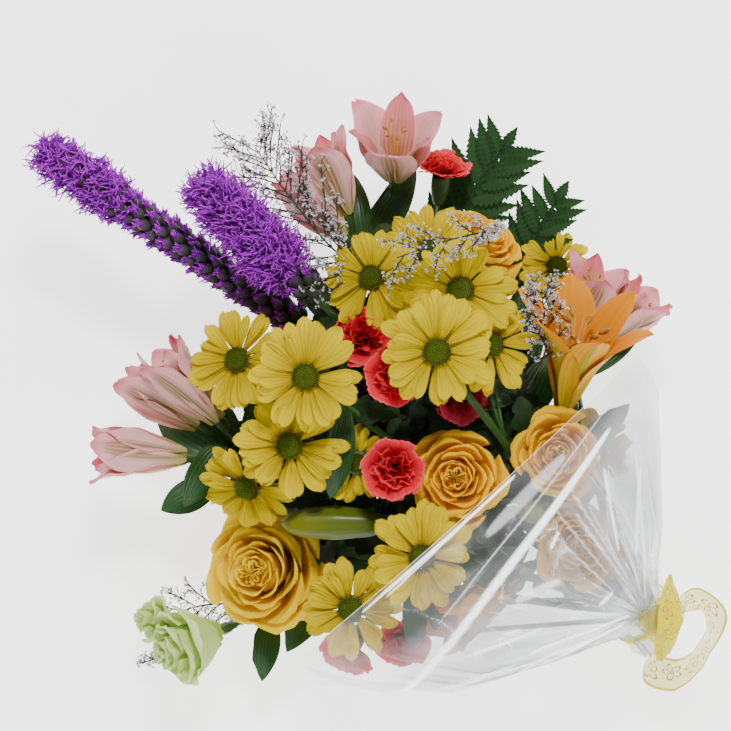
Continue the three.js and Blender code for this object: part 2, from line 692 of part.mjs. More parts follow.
// Stems settle side by side: they are pulled smooth, kept in the tie, and pushed clear of one another and
// of the blooms.
function settle(strands) {
  const ROUNDS = 600;
  for (const s of strands.filter((each) => each.branch)) {
    s.from = strands.find((m) => (s.main ? m.group === s.group : m.plant === s.plant) && m.main && m !== s);
    const last = s.points.length - 2;
    const start = s.from.points[s.attach];
    for (let n = 0; n < last; n++) s.points[n] = start.clone().lerp(s.points[last], n / last);
  }
  const delta = V(0, 0, 0);
  for (let round = 0; round < ROUNDS; round++) {
    for (const s of strands) {
      const last = s.points.length - 2;
      for (let n = s.branch ? 1 : 2; n < last; n++) {
        const middle = s.points[n - 1].clone().add(s.points[n + 1]).multiplyScalar(0.5);
        s.points[n].lerp(middle, round < ROUNDS - 150 ? 0.3 : 0.04);
      }
      if (s.branch) s.points[0].copy(s.from.points[s.attach]);
      else {
        s.points[0].lerp(s.points[1].clone().addScaledVector(bunchAxis, -TAIL), 0.5);
        const fromTie = s.points[1].clone().sub(tieCentre);
        fromTie.addScaledVector(bunchAxis, -fromTie.dot(bunchAxis)).multiplyScalar(0.985);
        fromTie.clampLength(0, TIE.radius - s.radius - 0.6);
        s.points[1].copy(tieCentre).add(fromTie);
      }
    }
    const segments = POSTS.map((s) => ({ s, n: 0 }));
    for (const s of strands) {
      for (let n = 0; n < s.points.length - 1; n++) segments.push({ s, n });
    }
    for (let i = 0; i < segments.length; i++) {
      for (let j = i + 1; j < segments.length; j++) pushApart(segments[i], segments[j], delta);
    }
    for (const s of strands) {
      for (let n = 2; n < s.points.length - 2; n++) {
        for (const room of ROOMS) if (room.name !== s.bloom) pushOut(s.points[n], room, s.radius + 2);
        if (s.points[n].z < 6) s.points[n].z = 6;
      }
    }
  }
}

function pushApart(a, b, delta) {
  const touching = a.s.radius + b.s.radius;
  const least = touching + GAP + 0.4;
  if (a.s === b.s || a.s.bloom === b.s.bloom) return;
  if (a.s.group === b.s.group && (a.n < 2 || b.n < 2)) return;
  const [p1, q1] = [a.s.points[a.n], a.s.points[a.n + 1]];
  const [p2, q2] = [b.s.points[b.n], b.s.points[b.n + 1]];
  if (Math.abs(p1.x + q1.x - p2.x - q2.x) > 60 || Math.abs(p1.y + q1.y - p2.y - q2.y) > 60) return;
  const [u, v] = closest(p1, q1, p2, q2);
  delta.set(
    lerp(p1.x, q1.x, u) - lerp(p2.x, q2.x, v),
    lerp(p1.y, q1.y, u) - lerp(p2.y, q2.y, v),
    lerp(p1.z, q1.z, u) - lerp(p2.z, q2.z, v),
  );
  const distance = delta.length();
  if (distance >= least) return;
  if (distance < 1e-3) delta.set(0, 0.3, 1);
  delta.setLength((least - distance) * 0.5);
  shift(a.s, a.n, u, delta, 1);
  shift(b.s, b.n, v, delta, -1);
}

function shift(strand, n, u, delta, sign) {
  const fixed = strand.points.length - 2;
  if (n < fixed) strand.points[n].addScaledVector(delta, sign * (1 - u));
  if (n + 1 < fixed) strand.points[n + 1].addScaledVector(delta, sign * u);
}

// The nearest points of two segments, as shares of their lengths.
function closest(p1, q1, p2, q2) {
  const [d1x, d1y, d1z] = [q1.x - p1.x, q1.y - p1.y, q1.z - p1.z];
  const [d2x, d2y, d2z] = [q2.x - p2.x, q2.y - p2.y, q2.z - p2.z];
  const [rx, ry, rz] = [p1.x - p2.x, p1.y - p2.y, p1.z - p2.z];
  const a = d1x * d1x + d1y * d1y + d1z * d1z + 1e-9;
  const e = d2x * d2x + d2y * d2y + d2z * d2z + 1e-9;
  const f = d2x * rx + d2y * ry + d2z * rz;
  const c = d1x * rx + d1y * ry + d1z * rz;
  const b = d1x * d2x + d1y * d2y + d1z * d2z;
  const clamp = (x) => Math.min(1, Math.max(0, x));
  let u = clamp((b * f - c * e) / (a * e - b * b || 1e-9));
  const v = clamp((b * u + f) / e);
  u = clamp((b * v - c) / a);
  return [u, v];
}

function pushOut(point, room, margin) {
  const from = point.clone().sub(room.centre);
  const high = from.dot(room.direction);
  const flat = from.addScaledVector(room.direction, -high);
  const [wide, deep] = [room.wide + margin, room.deep + margin];
  const inside = (flat.length() / wide) ** 2 + (high / deep) ** 2;
  if (inside >= 1) return;
  const out = flat.multiplyScalar(1 / wide ** 2).addScaledVector(room.direction, high / deep ** 2);
  if (out.lengthSq() < 1e-9) out.copy(room.direction).negate();
  point.addScaledVector(out.normalize(), Math.min(wide, deep) * (1 - Math.sqrt(inside)) * 0.6);
}

// Leaves out the points at which a path runs nearly straight on.
function bendsOf(path) {
  const kept = [path[0]];
  for (let k = 1; k < path.length - 1; k++) {
    const [before, after] = [kept[kept.length - 1], path[k + 1]];
    const line = after.clone().sub(before);
    const off = path[k].clone().sub(before).cross(line).length() / line.length();
    if (off > STRAIGHT) kept.push(path[k]);
  }
  return [...kept, path[path.length - 1]];
}

// A stem through points: a ring of corners at each, square to the way the stem runs there.
function tube(path, thickness, sides = 4) {
  const points = bendsOf(path);
  const radius = thickness + margin;
  const last = points.length - 1;
  const corners = [];
  let across = V(0, 0, 0);
  points.forEach((point, k) => {
    const way = points[Math.min(last, k + 1)].clone().sub(points[Math.max(0, k - 1)]).normalize();
    if (k === 0) across = Math.abs(way.z) < 0.9 ? V(0, 0, 1) : V(1, 0, 0);
    across = across.clone().addScaledVector(way, -across.dot(way)).normalize();
    const second = way.clone().cross(across);
    for (let n = 0; n < sides; n++) {
      const angle = (n / sides) * 2 * Math.PI;
      const out = across.clone().multiplyScalar(Math.cos(angle)).addScaledVector(second, Math.sin(angle));
      corners.push(point.clone().addScaledVector(out, radius));
    }
  });
  const faces = [];
  for (let k = 0; k < last; k++) {
    for (let n = 0; n < sides; n++) {
      const m = (n + 1) % sides;
      const [a, b, c, d] = [k * sides + n, k * sides + m, (k + 1) * sides + m, (k + 1) * sides + n];
      faces.push([a, b, c], [a, c, d]);
    }
  }
  const top = last * sides;
  for (let n = 1; n < sides - 1; n++) faces.push([0, n + 1, n], [top, top + n, top + n + 1]);
  return solidFrom(corners, faces);
}

const strands = PLANTS.flatMap(strandsOf);
settle(strands);

// ---------------------------------------------------------------------------------------------- leaves
// Leaves that belong to a stem: from, tip (along, left, up), greatest half width, arch of the midrib and
// cupping.
const LEAVES = {
  alstroemeria_stem_2: [
    { from: [250, 70, 50], to: [316, 62, 34], half: 11, arch: 4, cup: 2 },
    { from: [258, 78, 56], to: [252, 122, 58], half: 9, arch: 6, cup: 2 },
    { from: [240, 68, 62], to: [262, 46, 80], half: 6, arch: 5, cup: 1.5 },
  ],
  alstroemeria_stem_1: [
    { from: [262, -66, 52], to: [272, -122, 50], half: 8, arch: 5, cup: 1.5 },
    { from: [264, -62, 54], to: [300, -96, 44], half: 7, arch: 5, cup: 1.5 },
  ],
  alstroemeria_stem_3: [{ from: [118, -86, 36], to: [108, -140, 24], half: 8, arch: 4, cup: 2 }],
  lily_stem: [{ from: [92, -46, 66], to: [86, -92, 68], half: 6, arch: 6, cup: 2 }],
  daisy_stem_3: [{ from: [92, 38, 78], to: [80, 12, 96], half: 9, arch: 5, cup: 2 }],
  rose_stem_1: [{ from: [160, 102, 16], to: [150, 152, 40], half: 12, arch: 7, cup: 2 }],
  daisy_stem_1: [{ from: [214, 15, 104], to: [188, 62, 98], half: 8, arch: 5, cup: 1.5 }],
  lisianthus_stem: [
    { from: [170, 142, 24], to: [150, 176, 30], half: 7, arch: 4, cup: 1.5 },
    { from: [172, 144, 24], to: [204, 128, 30], half: 6, arch: 4, cup: 1.5 },
  ],
};

function leafOn({ from, to, half, arch, cup }) {
  const base = V(...from);
  const tip = V(...to);
  const along = tip.clone().sub(base);
  return leaf({
    base,
    tip,
    side: V(-along.y, along.x, 0),
    rows: [0.3, 0.68],
    width: (f) => 0.9 + half * Math.sin(Math.PI * Math.min(1, f * 0.92 + 0.06)) ** 0.8,
    arch,
    cup,
  });
}

// -------------------------------------------------------------------------------- the green of a plant
const curveOf = (route, closed = false) =>
  new THREE.CatmullRomCurve3(
    route.map((p) => V(...p)),
    closed,
    "centripetal",
  );

// The matrix that stands a shape made along +Z on from, pointing to to.
function standing(from, to) {
  const span = V(...to).sub(V(...from)).normalize();
  const turn = new THREE.Matrix4().makeRotationFromQuaternion(
    new THREE.Quaternion().setFromUnitVectors(V(0, 0, 1), span),
  );
  return new THREE.Matrix4().makeTranslation(...from).multiply(turn);
}

function greenOf(plant) {
  const parts = [];
  const own = strands.filter((each) => each.plant === plant);
  for (const s of own) {
    parts.push(tube(s.points, s.radius, s.branch ? 3 : 4));
    const bloom = BLOOMS.find((b) => b.name === s.bloom);
    const bud = BUDS.find((b) => b.name === s.bloom);
    if (bloom) parts.push(placed(KINDS[bloom.kind].green(bloom), frameOf(bloom)));
    if (bud) {
      const length = V(...bud.to).distanceTo(V(...bud.from));
      parts.push(placed(budSolid({ length, radius: bud.radius }), standing(bud.from, bud.to)));
    }
  }
  const along = own.flatMap(({ points }) => points.slice(1).flatMap((q, k) => quarters(points[k], q)));
  for (const each of LEAVES[plant.name] ?? []) {
    const wanted = V(...each.from);
    const node = along.reduce((a, b) => (b.distanceToSquared(wanted) < a.distanceToSquared(wanted) ? b : a));
    parts.push(leafOn({ ...each, from: node.toArray() }));
  }
  return joined(parts);
}

const quarters = (p, q) => [0.25, 0.5, 0.75, 1].map((f) => p.clone().lerp(q, f));

// --------------------------------------------------------------------------------------------- liatris
// The axis of a spike, and the pointed florets that spiral up it and lean toward its tip.
function spikeFlorets({ name, from, to, radius }) {
  const random = seeded(name.length * 7 + from[0]);
  const length = V(...to).distanceTo(V(...from));
  const axis = [
    [0, 0],
    [3, 0.2],
    [6, 6],
    [6, length * 0.6],
    [3, length - 8],
    [0, length],
  ];
  const parts = [lathe(axis, 6)];
  const count = Math.round(length * 0.21);
  const lean = 0.55;
  for (let k = 0; k < count; k++) {
    const f = (k + 0.5) / count;
    const reach = radius * (0.75 + 0.3 * random()) * (f > 0.8 ? lerp(1, 0.5, (f - 0.8) / 0.2) : 1);
    const cone = new THREE.ConeGeometry(2.9 + margin, reach, 3, 1).translate(0, reach / 2, 0);
    cone.rotateX(Math.PI / 2).rotateY(0.5 * Math.PI - lean);
    cone.rotateZ(k * GOLDEN).translate(0, 0, 4 + (length - 14) * f);
    parts.push(solidOf(cone));
  }
  return placed(joined(parts), standing(from, to));
}

// ---------------------------------------------------------------------------------------- sea-lavender
// Each spray: a stem, then twigs that fork from it, each twig ending in a small floret.
const SPRAYS = [
  {
    name: "limonium_1",
    route: [
      [240, -66, 84],
      [272, -52, 96],
      [318, -60, 92],
      [352, -70, 84],
    ],
    spread: 46,
    twigs: 6,
  },
  {
    name: "limonium_2",
    route: [
      [211, -109, 82],
      [212, -118, 116],
      [228, -98, 140],
      [246, -70, 138],
    ],
    spread: 26,
    twigs: 3,
  },
  {
    name: "limonium_3",
    route: [
      [140, -60, 92],
      [146, -82, 118],
      [160, -98, 126],
      [170, -108, 124],
    ],
    spread: 20,
    twigs: 3,
  },
  {
    name: "limonium_4",
    route: [
      [164, 138.5, 24.5],
      [190, 150, 14],
      [214, 176, 14],
      [206, 204, 12],
    ],
    spread: 26,
    twigs: 3,
  },
];

function spraySolid({ name, route, spread, twigs }) {
  const random = seeded(name.charCodeAt(9) * 31);
  const path = curveOf(route);
  const parts = [tube(path.getPoints(5), 0.9, 4)];
  for (let k = 0; k < twigs; k++) {
    const f = lerp(0.32, 1, k / (twigs - 1));
    const from = path.getPointAt(f);
    const heading = path.getTangentAt(f);
    const side = V(-heading.y, heading.x, 0).normalize().multiplyScalar(k % 2 ? 1 : -1);
    const reach = spread * (0.6 + 0.4 * random()) * (1.15 - 0.5 * f);
    const rise = V(0, 0, 0.12 + 0.25 * random());
    const out = heading.clone().add(side).multiplyScalar(0.75).add(rise).normalize();
    const end = from.clone().addScaledVector(out, reach);
    end.z = Math.max(end.z, 4);
    parts.push(tube([from, from.clone().lerp(end, 0.5).add(V(0, 0, 1.5)), end], 0.6, 3));
    const root = from.clone().lerp(end, 0.95).add(V(0, 0, 0.23));
    const way = V(random() - 0.5, random() - 0.5, random() * 0.7).normalize();
    const tip = root.clone().addScaledVector(way, 5);
    tip.z = Math.max(tip.z, 3);
    const length = tip.distanceTo(root) + 1.2;
    const floret = new THREE.ConeGeometry(2.4, length, 3, 1).rotateX(-Math.PI / 2);
    floret.translate(0, 0, length / 2 - 0.8).applyMatrix4(standing(root.toArray(), tip.toArray()));
    parts.push(solidOf(floret));
  }
  return joined(parts);
}

// ------------------------------------------------------------------------------------------------ fern
const FERNS = [
  { name: "fern_1", from: [232, -92, 50], to: [240, -176, 46], half: 34 },
  { name: "fern_2", from: [186, -98, 40], to: [196, -172, 34], half: 26 },
];

function fernSolid({ from, to, half }) {
  const base = V(...from);
  const along = V(...to).sub(base);
  const length = along.length();
  const heading = along.clone().normalize();
  const side = V(-heading.y, heading.x, 0).normalize();
  const rib = (f) => base.clone().addScaledVector(along, f).add(V(0, 0, 9 * Math.sin(Math.PI * 0.8 * f)));
  const parts = [tube([0, 0.24, 0.48, 0.72, 0.97].map(rib), 1, 4)];
  const pairs = 4;
  for (let k = 0; k < pairs; k++) {
    const f = 0.1 + (0.86 * k) / pairs;
    const reach = half * Math.sin(Math.PI * (0.24 + 0.7 * f)) ** 0.9 + 2;
    for (const hand of [-1, 1]) {
      const root = rib(f);
      const tip = root.clone().addScaledVector(side, hand * reach).addScaledVector(heading, reach * 0.55);
      tip.z -= 3;
      parts.push(pinna(root, tip, (length / pairs) * 0.34));
    }
  }
  const end = rib(0.94);
  parts.push(pinna(end, rib(1.06), 4));
  return joined(parts);
}

// One toothed leaflet of a fern.
function pinna(root, tip, half) {
  const across = tip.clone().sub(root);
  return leaf({
    base: root,
    tip,
    side: V(-across.y, across.x, 0),
    rows: [0.3, 0.52],
    width: (f) => (f < 0.05 ? 0.5 : half * (f > 0.4 && f < 0.6 ? 0.5 : 1.1 - 0.6 * f) + 0.3),
    arch: 1.5,
  });
}

// ------------------------------------------------------------------------------------------------ wrap
// Stations along the wrap: the highest and the lowest line (along, up), the half width, and the shift to
// the left. The lower line runs on under the flowers as a sheet that lies on the table.
const STATIONS = [
  { high: [-25, 45], low: [-2, 10.5], half: 21, shift: 0, even: 1 },
  { high: [-15.6, 49], low: [4.4, 18], half: 18.5, shift: 0, even: 1 },
  { high: [-10.2, 53], low: [10.2, 21], half: 18.4, shift: 0, even: 1 },
  { high: [-4.5, 57], low: [15.5, 24.5], half: 18.8, shift: 0, even: 1 },
  { high: [6, 74], low: [26, 16], half: 34, shift: 2, even: 1 },
  { high: [22, 96], low: [40, 6], half: 58, shift: 4, even: 0.7 },
  { high: [52, 112], low: [76, 0], half: 98, shift: 10, even: 0.3 },
  { high: [84, 128], low: [120, 0], half: 124, shift: 15, even: 0 },
  { high: [96, 136], low: [180, 0], half: 132, shift: 16, even: 0 },
  { high: [106, 141], low: [242, 0], half: 137, shift: 18, even: 0 },
];
const AROUND = 14;

function filmPoint(station, turn) {
  const { high, low, half, shift, even } = STATIONS[station];
  const angle = (turn / AROUND) * 2 * Math.PI - Math.PI / 2;
  const rise = Math.sign(Math.sin(angle)) * Math.abs(Math.sin(angle)) ** 0.85;
  const share = (1 + rise) / 2;
  const fold = station > 2 ? 1 + 0.022 * Math.cos(turn * 2.6 + station * 0.6) : 1;
  const swept = rise >= 0 ? high[0] : lerp(high[0], low[0], (-rise) ** 1.3);
  const x = lerp(swept, lerp(low[0], high[0], share), even);
  const dome = rise < 0 ? 0.17 * (2 * share) ** 2.6 : lerp(0.17, 1, rise ** 0.9);
  const z = lerp(low[1], high[1], lerp(dome, share, even)) * (rise > 0 ? fold : 1);
  const slant = station > 6 && rise > -0.2 ? 12 * Math.cos(angle) : 0;
  return V(x + slant, shift + half * fold * Math.cos(angle), z);
}

function filmSolid() {
  const count = STATIONS.length;
  const at = (station, turn) => filmPoint(station, (turn + AROUND) % AROUND);
  const outer = [];
  const inner = [];
  for (let k = 0; k < count; k++) {
    for (let n = 0; n < AROUND; n++) {
      const forward = at(Math.min(count - 1, k + 1), n).sub(at(Math.max(0, k - 1), n));
      const around = at(k, n + 1).sub(at(k, n - 1));
      const normal = around.cross(forward).normalize();
      const p = at(k, n);
      const flat = p.z < 0.9;
      outer.push(flat ? V(p.x, p.y, 0) : p.clone().addScaledVector(normal, FILM / 2 + margin));
      inner.push(flat ? V(p.x, p.y, FILM + margin) : p.clone().addScaledVector(normal, -FILM / 2 - margin));
      if (!flat) {
        const last = outer.length - 1;
        outer[last].z = Math.max(outer[last].z, 0.05);
        inner[last].z = Math.max(inner[last].z, outer[last].z < 2 ? outer[last].z + FILM : 0);
      }
    }
  }
  const total = outer.length;
  const faces = [];
  const id = (k, n) => k * AROUND + ((n + AROUND) % AROUND);
  for (let k = 0; k < count - 1; k++) {
    for (let n = 0; n < AROUND; n++) {
      const [a, b, c, d] = [id(k, n), id(k, n + 1), id(k + 1, n + 1), id(k + 1, n)];
      faces.push([a, b, c], [a, c, d], [a + total, c + total, b + total], [a + total, d + total, c + total]);
    }
  }
  for (let n = 0; n < AROUND; n++) {
    const [a, b] = [id(0, n), id(0, n + 1)];
    faces.push([a, a + total, b + total], [a, b + total, b]);
    const [c, d] = [id(count - 1, n), id(count - 1, n + 1)];
    faces.push([c, d + total, c + total], [c, d, d + total]);
  }
  return solidFrom([...outer, ...inner], faces);
}

// ---------------------------------------------------------------------------------------------- ribbon
// A band along a route; across(p) is the direction of its width at a point p of it, and wide(f) the width
// at f along.
function band(route, across, wide, steps, closed = false) {
  const path = curveOf(route, closed);
  const corners = [];
  for (let k = 0; k <= steps - (closed ? 1 : 0); k++) {
    const f = k / steps;
    const p = path.getPointAt(f);
    const t = path.getTangentAt(f);
    const w = across(p).clone();
    w.addScaledVector(t, -w.dot(t)).normalize();
    const n = t.clone().cross(w).normalize();
    const [u, h] = [w.multiplyScalar(wide(f) / 2), n.multiplyScalar(FILM / 2 + margin)];
    const [high, low] = [p.clone().add(h), p.clone().sub(h)];
    corners.push([high.clone().add(u), high.clone().sub(u), low.clone().sub(u), low.clone().add(u)]);
  }
  const faces = [];
  const rings = corners.length;
  for (let k = 0; k < (closed ? rings : rings - 1); k++) {
    const m = (k + 1) % rings;
    for (let c = 0; c < 4; c++) {
      const e = (c + 1) % 4;
      faces.push([k * 4 + c, m * 4 + e, k * 4 + e], [k * 4 + c, m * 4 + c, m * 4 + e]);
    }
  }
  if (!closed) {
    const z = (rings - 1) * 4;
    faces.push([0, 1, 2], [0, 2, 3], [z, z + 2, z + 1], [z, z + 3, z + 2]);
  }
  return solidFrom(corners.flat(), faces);
}

// The ribbon's turn round the tie, its knot, the loop that flares round middle, and its two ends.
const RIBBON = {
  ring: 21.8,
  knot: [-17.5, -8, 57.2],
  middle: [-33, -1],
  wide: 27,
  loop: [
    [-17, -6, 59],
    [-23, 8, 52],
    [-28, 20, 38],
    [-38, 19, 23],
    [-46, 4, 16],
    [-44, -15, 19],
    [-36, -22, 35],
    [-27, -17, 51],
    [-19, -10, 56.3],
  ],
  firstEnd: [
    [-15.5, -9.2, 57.7],
    [-12, -21, 57],
    [-6, -30, 52],
    [0, -37, 46],
  ],
  secondEnd: [
    [-19.5, -11, 57.9],
    [-27, -6, 46],
    [-31, 3, 34],
    [-34, 13, 22],
  ],
};

function ribbonSolid() {
  const around = (radius, offset, f) => {
    const angle = f * 2 * Math.PI;
    const centre = tieCentre.clone().addScaledVector(bunchAxis, offset);
    centre.y += radius * Math.cos(angle);
    return centre.addScaledVector(bunchUp, radius * Math.sin(angle)).toArray();
  };
  const ringRoute = Array.from({ length: 12 }, (_, k) => around(RIBBON.ring, 0, k / 12));
  const ring = band(ringRoute, () => bunchAxis, () => 7, 12, true);
  const profile = [
    [0, -6],
    [5.5, -4],
    [8, 0],
    [5.5, 4.5],
    [0, 6],
  ];
  const knotAt = new THREE.Matrix4().makeRotationX(0.5).setPosition(...RIBBON.knot);
  const [middleX, middleY] = RIBBON.middle;
  const flared = (p) => V(p.x - middleX, p.y - middleY, 0).setLength(0.85).add(V(0, 0, 0.55));
  const full = (f) => lerp(8, RIBBON.wide, Math.sin(Math.PI * f) ** 0.6);
  return joined([
    ring,
    placed(lathe(profile, 6), knotAt),
    band(RIBBON.loop, flared, full, 11),
    band(RIBBON.firstEnd, () => V(0.8, 0.3, 0.5), (f) => lerp(8, 22, f), 3),
    band(RIBBON.secondEnd, () => V(0.9, -0.3, 0.4), (f) => lerp(8, 20, f), 3),
  ]);
}

// -------------------------------------------------------------------------------------------- assembly
const meets = (a, b) => {
  const [p, q] = [a.boundingBox(), b.boundingBox()];
  return [0, 1, 2].every((k) => p.min[k] < q.max[k] + GAP && q.min[k] < p.max[k] + GAP);
};

// Each shape is cut clear of the ones before it. build makes it, and makes it a little larger when it is
// the cutter.
const nodes = [];
function keep(name, kind, build) {
  let clear = largest(build());
  for (const other of nodes) {
    if (!meets(other.solid, clear)) continue;
    if (!other.cutter) {
      margin = GAP;
      other.cutter = other.build();
      margin = 0;
    }
    const shared = clear.intersect(other.cutter);
    if (shared.volume() > 1e-4) clear = largest(clear.subtract(other.cutter).subtract(other.solid));
    shared.delete();
  }
  nodes.push({ name, kind, build, solid: clear });
}

keep("film_wrap", "film", filmSolid);
for (const bloom of BLOOMS) {
  const seed = bloom.name.length * 977 + bloom.at[0] * 7;
  keep(bloom.name, bloom.kind, () => placed(KINDS[bloom.kind].petals(bloom, seeded(seed)), frameOf(bloom)));
}
for (const spike of SPIKES) keep(spike.name, "liatris", () => spikeFlorets(spike));
keep("ribbon", "ribbon", ribbonSolid);

for (const [name, members] of Object.entries(GROUPS)) {
  keep(name, "green", () => {
    const stems = members.map((member) => greenOf(PLANTS.find((p) => p.name === member)));
    return joined(stems);
  });
}
for (const fern of FERNS) keep(fern.name, "fern", () => fernSolid(fern));
for (const spray of SPRAYS) keep(spray.name, "limonium", () => spraySolid(spray));

const bouquet = new THREE.Group();
bouquet.name = "bouquet";
const laid = new THREE.Group();
laid.position.x = -REST_ALONG;
for (const { name, kind, solid } of nodes) {
  const [color, roughness] = COLOURS[kind];
  const material = new THREE.MeshStandardMaterial({ color, roughness, name: kind });
  const mesh = new THREE.Mesh(geometryOf(solid), material);
  mesh.name = name;
  laid.add(mesh);
}
bouquet.add(laid);

export default bouquet;
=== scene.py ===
"""The looks of a mixed flower bouquet that lies on a table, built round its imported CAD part.

Points are in millimetres from the foot of the tie: along the bouquet, to its left, up from the table. The
frame's own origin is REST further along, and to_frame() moves points there, in metres.
"""

import math
import random
from functools import partialmethod

import bpy
import numpy as np
from mathutils import Matrix, Vector
from numpy import cos, exp, sin, sqrt


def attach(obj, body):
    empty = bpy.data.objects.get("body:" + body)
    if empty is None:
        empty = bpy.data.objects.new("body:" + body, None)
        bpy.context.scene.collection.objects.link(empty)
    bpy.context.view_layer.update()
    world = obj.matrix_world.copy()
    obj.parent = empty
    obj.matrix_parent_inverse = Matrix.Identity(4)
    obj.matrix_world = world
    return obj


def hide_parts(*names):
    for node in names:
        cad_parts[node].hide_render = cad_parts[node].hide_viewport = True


MM = 0.001
REST = 150
TIE_HEIGHT = 37
TIE_PITCH = math.radians(33)
PI = math.pi
GOLDEN = math.radians(137.508)
UP = (0, 0, 1)
LIP_START = 0.74  # how far up a rose petal its lip begins
DISC_FLORETS = 150  # in the disc of a daisy
FROND_PAIRS = 7  # pairs of leaflets on a fern
NEIGHBOURS = 78  # blooms nearer than this have leaves between them
PRINT_PITCH = 15  # from one printed flower of the ribbon to the next

# The two kinds of trumpet. wide: half widths of outer and inner tepals. throat: its radius. waist: how late
# it opens. curl: how far its lips roll back. blunt, tip: where a tepal narrows. cup, ruffle, keel: relief.
# stamen: its length by that of the tepals. anther, foot: their lengths.
LILY_STYLE = dict(wide=(11.5, 15), throat=4.2, waist=1.5, curl=0.34, blunt=0.8, cup=3, ruffle=0.5)
LILY_STYLE.update(keel=1.4, stamen=0.72, anther=8, foot=5.5, tip=0.8)
ALSTRO_STYLE = dict(wide=(15.5, 10), throat=3.2, waist=1.15, curl=0.2, blunt=0.75, cup=2.2, ruffle=1.9)
ALSTRO_STYLE.update(keel=0.5, stamen=0.8, anther=3.6, foot=7.5, tip=0.62)


def table(kind, keys, *rows, **shared):
    """How each numbered piece of a kind is placed, by its name."""
    return {f"{kind}_{n}": {**dict(zip(keys.split(), row)), **shared} for n, row in enumerate(rows, 1)}


# The arrangement. at is the middle of the face of a flat bloom and the base of a trumpet, toward the compass
# angle that it faces (0 along, 90 left) and lean its tilt from straight up.
DAISIES = table(
    "daisy", "at toward lean radius",
    ((244, 15, 136), 159, 6, 33),
    ((195, -43, 144), 129, 8, 34),
    ((226, 52, 113), 60, 8, 33),
    ((127, 54, 116), -141, 6, 32),
    ((139, 104, 91), 119, 13, 32),
    ((206, -79, 121), -51, 16, 34),
    ((234, -86, 95), -41, 25, 31),
    ((250, -53, 108), 9, 22, 31),
    ((173, -66, 115), -151, 14, 29),
    ((281, 33, 93), 9, 20, 31),
    ((230, 87, 89), 94, 36, 31),
    ((170, -129, 48), -71, 14, 23),
    ((190, 36, 96), -161, 10, 23),
    ((84, -64, 60), -121, 34, 23),
)
ROSES = table(
    "rose", "at toward lean radius petals",
    ((197, 126, 72), 39, 22, 42, 40),
    ((141, 6, 119), 39, 6, 31, 36),
    ((103, -41, 115), 9, 4, 28, 32),
    ((57, -8, 97), -141, 2, 28, 34),
    ((214, -120, 84), -81, 50, 28, 32),
)
CARNATIONS = table(
    "carnation", "at toward lean radius",
    ((263, -135, 72), -56, 66, 18),
    ((236, -24, 113), -21, 22, 19),
    ((204, -17, 130), 129, 8, 18),
    ((165, -34, 108), -161, 20, 18),
    ((171, 26, 128), 99, 10, 18),
    ((99, 107, 54), 109, 40, 18),
    ((120, 134, 42), 99, 55, 18),
)
LILIES = table(
    "lily", "at toward lean length mouth spin",
    ((114, -62, 88), -61, 58, 86, 40, 12),
    ((71, 22, 62), 72, 60, 76, 18, 0),
    style=LILY_STYLE,
)
ALSTROEMERIAS = table(
    "alstroemeria", "at toward lean length mouth spin",
    ((276, -106, 62), -51, 46, 52, 28, 0),
    ((284, -72, 60), -30, 74, 56, 17, 20),
    ((276, -62, 66), -8, 78, 56, 13, 0),
    ((265, 69, 66), -11, 82, 62, 16, 0),
    ((273, 78, 48), 5, 88, 60, 13, 30),
    ((267, 96, 56), 37, 86, 62, 17, 0),
    ((136, -100, 46), -72, 66, 54, 20, 0),
    ((120, -105, 42), -94, 70, 54, 18, 20),
    style=ALSTRO_STYLE,
)
# The lisianthus and its second head are roses of fewer, wider petals. The first stands on a tube of its own.
TUBE_FOOT, TUBE_LENGTH = (188, 166, 34), 46
LISIANTHUS = dict(radius=29, petals=17, ruffle=0.8, open_heart=0.2, depth=42, wide=1.5, toward=59, lean=62)
SECOND_HEAD = dict(radius=16, petals=11, ruffle=0.4, open_heart=0.1, depth=28, wide=1.5, toward=20, lean=60)
SECOND_HEAD["at"] = (234, 192, 38)
SPIKES = table(
    "liatris", "base tip reach bloomed",
    ((262, -6, 66), (458, 10.5, 87), 16, 0.62),
    ((268, -24, 96), (372, -34, 104), 19, 0.05),
)
BUDS = table(
    "bud", "foot tip radius",
    ((153, 52, 92), (201, 91, 88), 9.5),
    ((84, -14, 66), (97, -4, 98), 8.5),
)
SPRAYS = table(
    "limonium", "route spread twigs",
    ([(240, -66, 84), (272, -52, 96), (318, -60, 92), (352, -70, 84)], 50, 36),
    ([(211, -109, 82), (212, -118, 116), (228, -98, 140), (246, -70, 138)], 30, 13),
    ([(140, -60, 92), (146, -82, 118), (160, -98, 126), (170, -108, 124)], 26, 13),
    ([(164, 138.5, 24.5), (190, 150, 14), (214, 176, 14), (206, 204, 12)], 28, 20),
    ending="_spray",
)
FERNS = table(
    "fern", "base tip half",
    ((232, -92, 50), (240, -176, 46), 34),
    ((186, -98, 40), (196, -172, 34), 26),
    ending="_frond",
)
# The whorls of a daisy: how many petals, their length by its radius, how high they start, half width.
DAISY_WHORLS = [(12, 1, -1.8, 5.3), (11, 0.96, -0.4, 5), (9, 0.86, 0.9, 4.4)]
